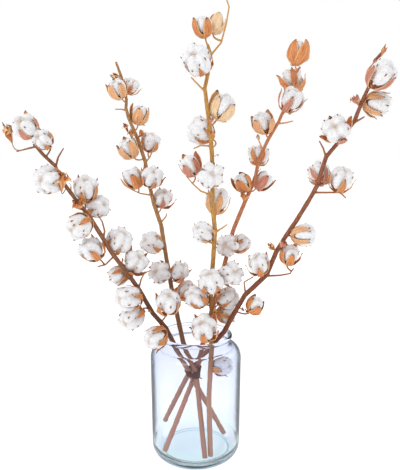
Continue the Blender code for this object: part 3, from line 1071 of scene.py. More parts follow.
FLUFFY, OPEN, CUPPED, HUSK = Habit
ORANGE, PINK, BEIGE, STRAW = Tint
LOOKS = {
    "a": (
        Look(OPEN, PINK, 60, 4), Look(OPEN, ORANGE, 50), Look(FLUFFY, ORANGE, 30), Look(OPEN, ORANGE, 5),
        Look(FLUFFY, ORANGE, 20), Look(FLUFFY, ORANGE, 0, 4), Look(OPEN, ORANGE, 0),
        Look(FLUFFY, ORANGE, 40), Look(OPEN, ORANGE, 25), Look(FLUFFY, ORANGE, 10),
        Look(FLUFFY, ORANGE, 50), Look(OPEN, ORANGE, 70, 4), Look(OPEN, ORANGE, 35),
    ),
    "b": (
        Look(CUPPED, BEIGE, 30), Look(HUSK, BEIGE, 0, 4), Look(OPEN, ORANGE, 45, 4),
        Look(CUPPED, BEIGE, 20), Look(CUPPED, ORANGE, 0), Look(OPEN, ORANGE, 40), Look(OPEN, PINK, 10),
        Look(FLUFFY, ORANGE, 60), Look(FLUFFY, ORANGE, 10), Look(OPEN, ORANGE, 30, 4),
    ),
    "c": (
        Look(CUPPED, ORANGE, 30, 4), Look(FLUFFY, ORANGE, 45), Look(CUPPED, STRAW, 52, 4),
        Look(FLUFFY, ORANGE, 5), Look(CUPPED, PINK, 40), Look(FLUFFY, ORANGE, 20), Look(OPEN, BEIGE, 15),
        Look(FLUFFY, ORANGE, 35), Look(FLUFFY, ORANGE, 0), Look(OPEN, ORANGE, 20), Look(FLUFFY, ORANGE, 30),
        Look(OPEN, ORANGE, 50), Look(OPEN, ORANGE, 10, 4),
    ),
    "d": (
        Look(HUSK, ORANGE, 40, 4), Look(OPEN, ORANGE, 0), Look(OPEN, PINK, 5), Look(CUPPED, BEIGE, 30, 4),
        Look(FLUFFY, ORANGE, 30), Look(HUSK, ORANGE, 50, 4), Look(CUPPED, PINK, 10, 4),
        Look(FLUFFY, ORANGE, 40),
    ),
    "e": (
        Look(OPEN, PINK, 55, 4), Look(OPEN, BEIGE, 60), Look(OPEN, PINK, 38, 4), Look(FLUFFY, PINK, 30),
        Look(OPEN, ORANGE, 5), Look(OPEN, BEIGE, 40), Look(CUPPED, ORANGE, 10), Look(OPEN, ORANGE, 60),
        Look(HUSK, ORANGE, 30, 4),
    ),
}


@dataclass(frozen=True)
class Seat:
    """Where a boll sits: its middle, the way that it faces and its width."""

    middle: Vector
    axis: Vector
    width: float

    seat_share: float = 0.64
    length_share: float = 1.10
    fill: float = 0.93

    @classmethod
    def of_node(cls, node: str) -> "Seat":
        """The seat that a boll's solid gives: its pointed end and its crown.

        Args:
            node: The solid's name.

        Returns:
            The seat of the boll that stands for it.
        """
        spots = [vertex.co.copy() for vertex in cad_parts[node].data.vertices]
        low, high = (Vector(corner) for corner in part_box(node))
        centre = (low + high) / 2
        unique = {tuple(round(value / WELD) for value in spot): spot for spot in spots}
        mean = sum(unique.values(), Vector()) / len(unique)
        seat = max(spots, key=lambda spot: (spot - mean).length)
        crown = max(spots, key=lambda spot: (spot - seat).length)
        axis = (crown - seat).normalized()
        scale = (crown - seat).length / cls.length_share
        middle = seat + axis * scale * cls.seat_share
        if (middle - centre).length > scale:
            raise ValueError(f"{node} isn't shaped like a boll")
        return cls(middle, axis, scale / cls.fill)

    def matrix(self, spin: float) -> Matrix:
        """The transform from a boll of width 1 that opens up +Z, its +X side towards the front."""
        front = Vector((0, -1, 0.25))
        side = front - self.axis * front.dot(self.axis)
        if side.length < 0.3:
            side = Vector((0, 0, -1)) - self.axis * -self.axis.z
        side.normalize()
        turn = Matrix((side, self.axis.cross(side), self.axis)).transposed().to_4x4()
        place = Matrix.Translation(self.middle) @ turn @ Matrix.Rotation(math.radians(spin), 4, "Z")
        return place @ Matrix.Scale(self.width, 4)


class EvenBall:
    """A ball of radius 1 with even faces, which finds its own vertices by direction."""

    def __init__(self, cells: int) -> None:
        """Makes the ball.

        Args:
            cells: How many faces each of its six sides has along an edge.
        """
        self.skin = cube_ball(cells)
        self.finder = finder_of(self.skin.points)

    def read(self, values: np.ndarray, spots: np.ndarray, near: int = 4) -> np.ndarray:
        """Values on the ball, read in the directions of other points.

        Args:
            values: One value for each of the ball's vertices.
            spots: Points round the ball's middle.
            near: How many of the ball's vertices each reading is the mean of.

        Returns:
            One value for each point.
        """
        found = [[hit[1] for hit in self.finder.find_n(Vector(spot).normalized(), near)] for spot in spots]
        return values[np.array(found)].mean(axis=1)


def cube_ball(cells: int) -> Skin:
    """A ball of radius 1 with even faces.

    Args:
        cells: How many faces each of its six sides has along an edge.

    Returns:
        The ball.
    """
    shape = bmesh.new()
    bmesh.ops.create_cube(shape, size=2)
    bmesh.ops.subdivide_edges(shape, edges=shape.edges, cuts=cells - 1, use_grid_fill=True)
    for vertex in shape.verts:
        even = Vector([math.tan(value * math.pi / 4) for value in vertex.co])
        vertex.co = even.normalized()
    mesh = bpy.data.meshes.new("ball")
    shape.to_mesh(mesh)
    shape.free()
    skin = Skin.of_mesh(mesh)
    bpy.data.meshes.remove(mesh)
    return skin


@dataclass
class CottonBoll:
    """One open boll: its locks of lint, its burr, its calyx and the dry bracts round its seat."""

    seat: Seat
    look: Look
    seed: int
    ball: EvenBall
    shelf: Shelf
    lint: bpy.types.Material
    wall: bpy.types.Material

    lock_length: float = 0.41
    lock_breadth: float = 0.26
    lock_width: float = 0.235
    lump_height: float = 0.013
    curl_height: float = 0.006
    furrow_sharpness: float = 18.0
    furrow_depth: float = 0.16
    wall_thickness: float = 0.022
    gap: float = 0.010
    bend_reach: float = 0.04
    midrib_height: float = 0.018
    edge_height: float = 0.02
    crimp_height: float = 0.022
    valve_unevenness: float = 0.13
    tooth_unevenness: float = 0.2
    widest: float = 0.40
    cross_radius: float = 0.42
    tooth_spine: tuple = (
        (0.06, -0.60), (0.27, -0.55), (0.45, -0.41), (0.565, -0.20), (0.60, 0.02), (0.59, 0.18), (0.56, 0.29))
    tooth_width: float = 0.018
    tooth_tip: float = 0.034
    tooth_rise: float = 0.075
    tooth_depth: float = 0.03
    rows: int = 14
    columns: int = 9

    def __post_init__(self) -> None:
        """Starts the boll's own random numbers and reads its habit."""
        self.random = np.random.default_rng(self.seed)
        self.shape = self.look.habit.value
        self.foot = self.shape.spine[0][1]

    def anywhere(self) -> Vector:
        """A random place to read a pattern from."""
        return Vector(self.random.uniform(-50, 50, 3))

    def lock_reach(self, ways: np.ndarray, angle: float) -> np.ndarray:
        """How far one lock reaches from the boll's middle, along each direction.

        Args:
            ways: Unit directions.
            angle: Where the lock stands round the axis.

        Returns:
            The distance to the lock's far side.
        """
        vary = 1 + self.random.uniform(-0.09, 0.09, 3)
        out = self.shape.locks * (1 + self.random.uniform(-0.1, 0.1))
        angle += self.random.uniform(-0.10, 0.10)
        radial = np.array([math.cos(angle), math.sin(angle), self.random.uniform(-0.15, 0.1)])
        radial /= np.linalg.norm(radial)
        round_axis = np.cross([0, 0, 1], radial)
        round_axis /= np.linalg.norm(round_axis)
        upward = np.cross(radial, round_axis)
        breadth = self.lock_width * (5 / self.look.valves) ** 0.7
        radii = np.array([self.lock_breadth * 1.07, breadth, self.lock_length]) * vary
        frame_rows = np.array([radial, round_axis, upward]) / radii[:, None]
        centre = radial * out + np.array([0, 0, self.random.uniform(0.0, 0.05)])
        rays, start = ways @ frame_rows.T, frame_rows @ centre
        a = (rays * rays).sum(axis=1)
        b = rays @ start
        c = start @ start - 1
        return (b + np.sqrt(np.maximum(b * b - a * c, 0))) / a

    def cotton(self) -> Skin:
        """The locks as one soft mass with furrows between them."""
        ways = self.ball.skin.points
        count = self.look.valves
        turns = [(step + 0.5) * 2 * math.pi / count for step in range(count)]
        reaches = np.array([self.lock_reach(ways, turn) for turn in turns])
        blend = self.furrow_sharpness
        smooth = (reaches**blend).sum(axis=0) ** (1 / blend)
        lumps = np.empty(len(ways))
        offset = self.anywhere()
        for number, point in enumerate(ways * smooth[:, None]):
            spot = Vector(point) + offset
            lumps[number] = (noise.fractal(spot * 6, 1.0, 2.0, 2) * self.lump_height
                             - abs(noise.noise(spot * 19)) * self.curl_height * 2)
        envelope = np.quantile(smooth, 0.9)
        ball = self.ball.skin
        points = ways * (smooth + lumps)[:, None] * self.shape.cotton
        skin = Skin(points, ball.corners, ball.sizes, ball.slots)
        # How deep each point lies between the locks, which the lint's finish paints shade by.
        skin.marks["depth"] = np.clip((envelope - smooth - lumps * 1.5) / self.furrow_depth, 0, 1)
        return skin

    def wisps(self, cotton: Skin) -> Skin:
        """Loose fibres that stand off the lint."""
        mesh = run_tree(cotton.mesh("ground"), self.shelf.fuzz, {
            "Density": 70.0, "Length": 0.16, "Thickness": 0.004, "Lean": 1.25, "Seed": self.seed,
            "Finish": self.lint})
        skin = Skin.of_mesh(mesh)
        skin.marks = {}
        return skin

    def breadths(self, half_width: float) -> np.ndarray:
        """Half of a valve's width down its length: widest below its middle, with a drawn-out tip."""
        taper = self.shape.taper
        shares = np.linspace(0.02, 0.985, self.rows)
        rise = (shares / self.widest) ** (taper * self.widest / (1 - self.widest))
        return half_width * rise * ((1 - shares) / (1 - self.widest)) ** taper

    def leaf(self, knots: Sequence[tuple], half: np.ndarray, columns: int) -> Skin:
        """One leaf of the burr, from the seat at the origin, on the +X side.

        Args:
            knots: Radius and height down its middle.
            half: Half of its width down its length.
            columns: How many points it has across.

        Returns:
            The leaf, marked for its finish.
        """
        shares = np.linspace(0, 1, len(half))
        spine = along_curve(knots, shares) - np.array([0, self.foot])
        runs = unit(np.gradient(spine, axis=0))
        inward = np.stack([-runs[:, 1], runs[:, 0]], axis=1)
        across = np.linspace(-1, 1, columns)
        angle = np.clip(half[:, None] * across / self.cross_radius, -1.25, 1.25)
        depth = self.cross_radius * (1 - np.cos(angle)) * 0.85
        lateral = self.cross_radius * np.sin(angle)
        out, up = (spine[:, part, None] + inward[:, part, None] * depth for part in (0, 1))
        thickness = self.thickness(shares)[:, None] * np.ones(columns)
        return shell(np.stack([out, lateral, up], axis=2), thickness)

    def thickness(self, shares: np.ndarray) -> np.ndarray:
        """How thick a leaf of the burr is down its length."""
        return self.wall_thickness * (1.15 - 0.6 * shares)

    def ring(self, leaf: Skin, count: int, unevenness: float, seed: int, cotton: Skin) -> Skin:
        """Copies of a leaf round the axis, each bent a little its own way.

        Args:
            leaf: The leaf.
            count: How many copies there are.
            unevenness: How far each may lean and turn, in radians.
            seed: The number that their differences come from.
            cotton: The cotton inside the ring.

        Returns:
            The ring, standing on the seat, with marks for the cotton's reach behind each point.
        """
        mesh = run_tree(leaf.mesh("valve"), self.shelf.ring, {
            "Count": count, "Unevenness": unevenness, "Seed": seed, "Finish": self.wall})
        skin = Skin.of_mesh(mesh, slot=1)
        offset = self.anywhere()
        bend = np.array([noise.noise_vector(Vector(point) * 3.2 + offset) for point in skin.points])
        skin.points = skin.points + bend * self.bend_reach + np.array([0, 0, self.foot])
        skin.marks["lint"] = self.ball.read(np.linalg.norm(cotton.points, axis=1), skin.points)
        skin.marks["lint"] += (1 - skin.marks["inside"]) * self.thickness(skin.marks["tip"])
        skin.marks["batch"] = np.full(len(skin.points), self.random.uniform(0, 50))
        return skin

    def valves(self, cotton: Skin) -> Skin:
        """The ring of valves, laid on the cotton, with a midrib and raised edges."""
        broad = self.shape.half_width * (5 / self.look.valves) ** 0.7
        leaf = self.leaf(self.shape.spine, self.breadths(broad), self.columns)
        skin = self.ring(leaf, self.look.valves, self.valve_unevenness, self.seed, cotton)
        offset = self.anywhere()
        crimp = np.array([noise.noise(Vector(point) * 9 + offset) for point in skin.points])
        midrib = np.exp(-((skin.marks["side"] * 3.5) ** 2))
        edges = skin.marks["rim"] ** 4
        relief = self.midrib_height * midrib + self.edge_height * edges + self.crimp_height * crimp
        reach = np.linalg.norm(skin.points, axis=1)
        laid = np.maximum(reach, skin.marks.pop("lint") + self.gap) + relief * (1 - skin.marks["tip"] ** 3)
        skin.points *= (laid / reach)[:, None]
        return skin

    def teeth(self, cotton: Skin) -> Skin:
        """Thin bract teeth, caught in the lint, with their dark points standing out of it."""
        shares = np.linspace(0, 1, self.rows)
        point = np.exp(-(((shares - 0.90) / 0.08) ** 2))
        half = self.tooth_width + (self.tooth_tip - self.tooth_width) * point
        leaf = self.leaf(self.tooth_spine, half * (1 - 0.6 * shares**16), 3)
        skin = self.ring(leaf, self.shape.teeth, self.tooth_unevenness, self.seed + 300, cotton)
        rise = smooth_step(skin.marks["tip"], 0.74, 1.0) * self.tooth_rise - self.tooth_depth
        reach = np.linalg.norm(skin.points, axis=1)
        skin.points *= ((skin.marks.pop("lint") + rise) / reach)[:, None]
        return skin

    def burr(self, cotton: Skin) -> Skin:
        """The valves, and the bract teeth where the boll has them."""
        parts = [self.valves(cotton)]
        if self.shape.teeth:
            parts.append(self.teeth(cotton))
        return Skin.joined(parts)

    def calyx(self) -> Skin:
        """The thick disc that the burr sits on."""
        profile = [(0, -0.02), (0.045, -0.02), (0.085, 0.0), (0.12, 0.03), (0.125, 0.055), (0.10, 0.07),
                   (0, 0.06)]
        skin = turned([(r, z + self.foot) for r, z in profile], 12).in_slot(1)
        skin.marks["tip"] = np.full(len(skin.points), 0.3)
        skin.marks["rim"] = np.full(len(skin.points), 0.75)
        return skin

    def bracts(self) -> Skin:
        """Three toothed bracts, dried and bent back under the burr."""
        parts = []
        start = self.random.uniform(0, 2 * math.pi)
        for step in range(3):
            size = self.random.uniform(0.22, 0.42)
            leaf = DryBract(size, 0.9, 5, int(self.random.integers(1 << 30))).skin(0.012)
            turn = Matrix.Rotation(start + step * 2 * math.pi / 3 + self.random.uniform(-0.3, 0.3), 4, "Z")
            lean = Matrix.Rotation(self.random.uniform(0.9, 1.9), 4, "Y")
            place = turn @ Matrix.Translation((0.07, 0, self.foot + 0.03)) @ lean
            parts.append(leaf.moved(place).in_slot(1))
        return Skin.joined(parts)

    def skin(self) -> Skin:
        """The whole boll, in place."""
        cotton = self.cotton()
        parts = [cotton, self.wisps(cotton), self.burr(cotton), self.calyx(), self.bracts()]
        return Skin.joined(parts).moved(self.seat.matrix(self.look.spin))


@dataclass
class DryBract:
    """A toothed, crumpled bract that grows up +Z from the origin, its inner side towards -X.

    Attributes:
        length: From its foot to its longest tooth.
        breadth: Its width as a share of its length.
        teeth: How many teeth its edge has.
        seed: The number that its crumples come from.
    """

    length: float
    breadth: float
    teeth: int
    seed: int

    rows: int = 9

    def skin(self, thickness: float) -> Skin:
        """The bract with a thickness, closed at its edges.

        Args:
            thickness: How thick it is.

        Returns:
            The bract, marked as a burr's wall is.
        """
        random = np.random.default_rng(self.seed)
        columns = 2 * self.teeth + 1
        shares = np.linspace(0, 1, self.rows)[:, None]
        across = np.linspace(-1, 1, columns)[None, :]
        reach = random.uniform(0.7, 1.0, columns)[None, :] * (1 - 0.25 * across**2)
        reach = np.where(np.arange(columns) % 2 == 0, reach * 0.72, reach)
        height = shares * self.length * np.where(shares > 0.5, 1 + (reach - 1) * (shares - 0.5) * 2, 1.0)
        fan = np.sin(math.pi * (0.08 + 0.62 * shares)) * (0.35 + 0.65 * shares)
        lateral = across * fan * self.length * self.breadth / 2
        cup = -(1 - np.cos(across * 1.1)) * self.length * 0.25 * fan - 0.22 * self.length * shares**2
        grid = np.stack([cup, lateral, height], axis=2)
        offset = Vector(random.uniform(-50, 50, 3))
        crumple = np.array([noise.noise_vector(Vector(point) * (3.5 / self.length) + offset)
                            for point in grid.reshape(-1, 3)]).reshape(grid.shape)
        grid = grid + crumple * self.length * 0.14 * shares[..., None]
        leaf = shell(grid, thickness)
        leaf.marks["tip"] = 0.25 + 0.6 * leaf.marks["tip"]
        leaf.marks["batch"] = np.full(len(leaf.points), random.uniform(0, 50))
        return leaf


# ---------------------------------------------------------------- stems


@dataclass(frozen=True)
class LateBoll:
    """A small boll on its own stalk, placed from a neighbour. Its lengths are in millimetres."""

    name: str
    beside: str
    offset: tuple
    width: float
    facing: tuple
    look: Look

    def seat(self) -> Seat:
        """Where it sits."""
        middle = Seat.of_node(self.beside).middle + Vector(self.offset) * MM
        return Seat(middle, Vector(self.facing).normalized(), self.width * MM)


@dataclass(frozen=True)
class Scrap:
    """A dry bract that has stayed on a stem, placed from a boll. Its lengths are in millimetres."""

    beside: str
    offset: tuple
    facing: tuple
    length: float
    tint: Tint
    breadth: float = 0.8
    leaves: int = 2


LATE_BOLLS = {
    "a": (LateBoll("late_boll_a", "boll_a_09", (-28, 5, -22), 30, (-7, 3, -4), Look(FLUFFY, ORANGE, 20)),),
    "b": (
        LateBoll("late_boll_b_high", "boll_b_01", (21, 30, 7), 26, (5, -2, 8), Look(OPEN, ORANGE, 20)),
        LateBoll("late_boll_b_low", "boll_b_10", (13, 15, -38), 34, (7, 2, 5), Look(FLUFFY, ORANGE, 0)),
    ),
    "c": (
        LateBoll("late_boll_c_high", "boll_c_01", (20, 17, 7), 27, (3, 3, 9), Look(HUSK, STRAW, 0, 4)),
        LateBoll(
            "late_boll_c_middle", "boll_c_07", (-22, -25, -47), 31, (-6, -5, 6), Look(FLUFFY, BEIGE, 30)),
        LateBoll("late_boll_c_low", "boll_c_11", (-2, 7, -29), 31, (6, 4, -2), Look(FLUFFY, ORANGE, 10)),
    ),
    "d": (LateBoll("late_boll_d", "boll_d_08", (25, 26, 0), 32, (6, -2, 7), Look(OPEN, ORANGE, 60)),),
    "e": (),
}

SCRAPS = {
    "a": (
        Scrap("boll_a_01", (-20, 4, -24), (-1, -1, 6), 34, ORANGE, 0.55, 3),
        Scrap("boll_a_01", (2, 0, 13), (1, -2, 6), 9, ORANGE),
        Scrap("boll_a_03", (17, 2, -16), (1, -3, 7), 36, ORANGE, 0.8, 4),
        Scrap("boll_a_04", (-8, -12, -34), (-1, -4, 4), 24, ORANGE, 1.0, 4),
        Scrap("boll_a_12", (-27, 2, -17), (-2, -3, 3), 8, ORANGE),
    ),
    "b": (
        Scrap("boll_b_01", (9, 9, 15), (-8, -2, 3), 27, BEIGE, 0.5, 4),
        Scrap("boll_b_01", (-3, 22, 6), (4, -2, 6), 20, ORANGE),
        Scrap("boll_b_04", (0, 6, 24), (-2, -3, 5), 22, PINK, 0.6),
        Scrap("boll_b_04", (6, 4, 14), (0, -4, 5), 20, ORANGE),
        Scrap("boll_b_03", (-16, -4, 8), (4, -4, 4), 20, ORANGE),
    ),
    "c": (
        Scrap("boll_c_03", (-16, -6, -26), (1, -4, 5), 14, PINK),
        Scrap("boll_c_03", (-16, -4, -44), (-1, -4, 5), 12, ORANGE),
        Scrap("boll_c_06", (3, 22, 26), (5, -2, 5), 14, BEIGE, 0.5, 1),
        Scrap("boll_c_12", (15, 22, 18), (3, -4, 3), 10, BEIGE),
    ),
    "d": (
        Scrap("boll_d_04", (-6, -8, -32), (-2, -3, 6), 15, BEIGE, 0.45, 3),
        Scrap("boll_d_06", (2, -6, -34), (0, -4, 6), 23, ORANGE),
    ),
    "e": (
        Scrap("boll_e_02", (-30, -2, 0), (-4, -3, 6), 19, PINK, 0.8, 3),
        Scrap("boll_e_01", (4, 19, 22), (3, 0, 6), 20, ORANGE, 0.4, 2),
        Scrap("boll_e_07", (-16, -4, 10), (3, -5, 5), 20, PINK),
        Scrap("boll_e_07", (-24, -2, 6), (-5, -2, 4), 17, BEIGE),
        Scrap("boll_e_09", (-18, 2, -12), (-2, -4, 3), 10, PINK),
    ),
}


@dataclass
class CottonStem:
    """One stem: its bark grown from its solid, its pores, its scraps of bract and its bolls."""

    letter: str
    finish: BarkFinish
    shelf: Shelf
    lint: bpy.types.Material
    walls: dict
    ball: EvenBall

    voxel: float = 0.00065
    relax_rounds: int = 6
    collar_rounds: int = 10
    relax_gains: tuple = (0.55, -0.57)
    collar_gain: float = 0.9
    collar_relax: float = 0.08
    blur_rounds: int = 8
    ridge_scale: float = 2.6
    swell_scale: float = 70.0
    ridge_height: float = 0.00022
    swell_height: float = 0.00035
    twig_diameter: float = 0.0027
    stem_diameter: float = 0.0036
    along_grain: float = 62.0
    late_radius: float = 0.0012
    late_seat: float = 0.59
    late_rise: float = 0.6
    scrap_reach: float = 0.007
    scrap_stalk: float = 0.0006

    def __post_init__(self) -> None:
        """Builds the bark's finish."""
        self.node = f"stem_{self.letter}"
        self.bark = self.finish.material(self.shelf)
        self.seed = 1000 * (ord(self.letter) - ord("a") + 1)

    def remeshed(self) -> bpy.types.Mesh:
        """The stem's solid as one even skin."""
        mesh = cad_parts[self.node].data.copy()
        mesh.materials.clear()
        shape = bmesh.new()
        shape.from_mesh(mesh)
        bmesh.ops.remove_doubles(shape, verts=shape.verts, dist=WELD * 5)
        shape.to_mesh(mesh)
        shape.free()
        thing = shown("bark", mesh)
        remesh = thing.modifiers.new("even", "REMESH")
        remesh.mode = "VOXEL"
        remesh.voxel_size = self.voxel
        return finished_mesh(thing)

    def grown(self) -> Skin:
        """The bark: smoothed, thickened where twigs leave, ridged, and marked for its finish."""
        mesh = self.remeshed()
        skin = Skin.of_mesh(mesh)
        ends = np.empty(len(mesh.edges) * 2, np.int32)
        mesh.edges.foreach_get("vertices", ends)
        average = Neighbours(ends.reshape(-1, 2), len(skin.points))
        for _ in range(self.relax_rounds):
            for gain in self.relax_gains:
                skin.points += (average(skin.points) - skin.points) * gain
        normals = vertex_normals(skin)
        for _ in range(self.collar_rounds):
            hollow = ((average(skin.points) - skin.points) * normals).sum(axis=1)
            skin.points += normals * (np.maximum(hollow, 0) * self.collar_gain)[:, None]
            skin.points += (average(skin.points) - skin.points) * self.collar_relax
        normals = vertex_normals(skin)
        slender = self.slenderness(skin, normals)
        for _ in range(self.blur_rounds):
            slender = average(slender)
            normals = average(normals)
        normals = unit(normals)
        grain = normals + skin.points * self.along_grain
        shift = Vector((self.seed * 0.01, 0, 0))
        ridges = np.array([noise.fractal(Vector(spot) * self.ridge_scale + shift, 1.0, 2.0, 2)
                           for spot in grain])
        swells = np.array([noise.noise(Vector(spot) * self.swell_scale + shift) for spot in skin.points])
        lift = (ridges * self.ridge_height + swells * self.swell_height) * (1 - 0.6 * slender)
        skin.points += normals * lift[:, None]
        skin.marks["slender"] = slender
        skin.marks["grain"] = grain
        return skin

    def slenderness(self, skin: Skin, normals: np.ndarray) -> np.ndarray:
        """1 on thin twigs and 0 on the stem, from how far it is through to the other side.

        Args:
            skin: The bark.
            normals: The bark's vertex normals.

        Returns:
            One value for each vertex.
        """
        solid = BVHTree.FromPolygons(skin.points.tolist(), skin.corners.reshape(-1, 4).tolist())
        through = np.full(len(skin.points), self.twig_diameter)
        for number, (point, normal) in enumerate(zip(skin.points, normals)):
            inward = -Vector(normal)
            hit = solid.ray_cast(Vector(point) + inward * self.voxel * 0.3, inward)
            if hit[3] is not None:
                through[number] = hit[3]
        return 1 - smooth_step(through, self.twig_diameter, self.stem_diameter)

    def pores(self, bark: Skin) -> Skin:
        """Pale raised pores scattered over the bark."""
        mesh = run_tree(bark.mesh("bark"), self.shelf.lenticels, {
            "Density": 16000.0, "Size": 0.00055, "Gap": 0.0045, "Seed": self.seed, "Finish": self.bark})
        skin = Skin.of_mesh(mesh)
        skin.marks = {"pore": np.ones(len(skin.points))}
        skin.marks["grain"] = skin.points * self.along_grain
        return skin

    def build_bark(self) -> None:
        """Makes the stem's own piece."""
        bark = self.grown()
        self.finder = finder_of(bark.points)
        skin = Skin.joined([bark, self.pores(bark)])
        piece(f"bark_of_{self.node}", skin, [self.bark], [self.node])

    def build_bolls(self) -> None:
        """Makes the bolls that stand for solids."""
        for number, look in enumerate(LOOKS[self.letter], start=1):
            node = f"boll_{self.letter}_{number:02d}"
            skin = self.boll(Seat.of_node(node), look, self.seed + number).skin()
            piece(f"open_{node}", skin, [self.lint, self.walls[look.tint]], [node])

    def boll(self, seat: Seat, look: Look, seed: int) -> CottonBoll:
        """A boll ready to build."""
        return CottonBoll(seat, look, seed, self.ball, self.shelf, self.lint, self.walls[look.tint])

    def build_late_bolls(self) -> None:
        """Makes the small bolls that have no solid, each with its stalk."""
        for number, late in enumerate(LATE_BOLLS[self.letter], start=1):
            seat = late.seat()
            boll = self.boll(seat, late.look, self.seed + 500 + number).skin()
            skin = Skin.joined([boll, self.late_stalk(seat).in_slot(2)])
            piece(late.name, skin, [self.lint, self.walls[late.look.tint], self.bark])

    def late_stalk(self, seat: Seat) -> Skin:
        """A stalk from the stem to a boll's seat.

        Args:
            seat: Where the boll sits.

        Returns:
            The stalk, which leaves the stem below the point nearest to the seat.
        """
        end = seat.middle - seat.axis * seat.width * self.late_seat
        near = self.finder.find(end)[0]
        root = self.finder.find(near - Vector((0, 0, (near - end).length * self.late_rise)))[0]
        return self.stalk(root, end, seat.axis, self.late_radius)

    def stalk(self, root: Vector, end: Vector, facing: Vector, radius: float) -> Skin:
        """A thin bent stalk.

        Args:
            root: Where it leaves the stem.
            end: Where it ends.
            facing: The way that it points at its end.
            radius: Its radius.

        Returns:
            The stalk.
        """
        bend = end - facing * (end - root).length * 0.5
        shares = np.linspace(0, 1, 12)
        line = np.array([root.lerp(bend, t).lerp(bend.lerp(end, t), t) for t in shares])
        skin = tube(line, radius * (1.25 - 0.3 * shares), 8)
        skin.marks["slender"] = np.ones(len(skin.points))
        skin.marks["grain"] = skin.points * self.along_grain
        return skin

    def build_scraps(self) -> None:
        """Makes the dry bracts that have stayed on the stem, as one piece."""
        tints = sorted({scrap.tint for scrap in SCRAPS[self.letter]}, key=lambda tint: tint.name)
        random = np.random.default_rng(self.seed + 7)
        parts = []
        for scrap in SCRAPS[self.letter]:
            root = Seat.of_node(scrap.beside).middle + Vector(scrap.offset) * MM
            near = self.finder.find(root)[0]
            facing = Vector(scrap.facing).normalized()
            if (root - near).length < self.scrap_reach:
                root = near
            else:
                parts.append(self.stalk(near, root, facing, self.scrap_stalk).in_slot(len(tints)))
            turn = facing.to_track_quat("Z", "X").to_matrix().to_4x4()
            for leaf in range(scrap.leaves):
                size = scrap.length * MM * random.uniform(0.8, 1.0)
                shape = DryBract(size, scrap.breadth, 5, int(random.integers(1 << 30)))
                lean = Matrix.Rotation(random.uniform(0.1, 0.5), 4, "Y")
                spin = Matrix.Rotation(leaf * 2.2 + random.uniform(-0.4, 0.4), 4, "Z")
                place = Matrix.Translation(root) @ turn @ spin @ lean
                parts.append(shape.skin(0.0004).moved(place).in_slot(tints.index(scrap.tint)))
        finishes = [*(self.walls[tint] for tint in tints), self.bark]
        piece(f"dry_bracts_{self.letter}", Skin.joined(parts), finishes)


class Neighbours:
    """Averages values over each vertex's neighbours."""

    def __init__(self, edges: np.ndarray, count: int) -> None:
        """Reads the edges of a mesh.

        Args:
            edges: Two vertex numbers for each edge.
            count: How many vertices there are.
        """
        self.first = np.concatenate([edges[:, 0], edges[:, 1]])
        self.second = np.concatenate([edges[:, 1], edges[:, 0]])
        self.count = count
        self.total = np.maximum(np.bincount(self.first, minlength=count), 1)

    def __call__(self, values: np.ndarray) -> np.ndarray:
        """Each vertex's mean over its neighbours.

        Args:
            values: A number or a row for each vertex.

        Returns:
            The means, in the same form.
        """
        if values.ndim == 1:
            return np.bincount(self.first, values[self.second], self.count) / self.total
        return np.stack([self(column) for column in values.T], axis=1)


def vertex_normals(skin: Skin) -> np.ndarray:
    """The unit normals of a skin of four-cornered faces.

    Args:
        skin: The skin.

    Returns:
        One normal for each vertex.
    """
    rings = skin.corners.reshape(-1, 4)
    a, b, c, d = (skin.points[rings[:, corner]] for corner in range(4))
    face = np.cross(c - a, d - b)
    normals = np.zeros_like(skin.points)
    for corner in range(4):
        for part in range(3):
            normals[:, part] += np.bincount(rings[:, corner], face[:, part], len(skin.points))
    return unit(normals)


# ---------------------------------------------------------------- vase and tie


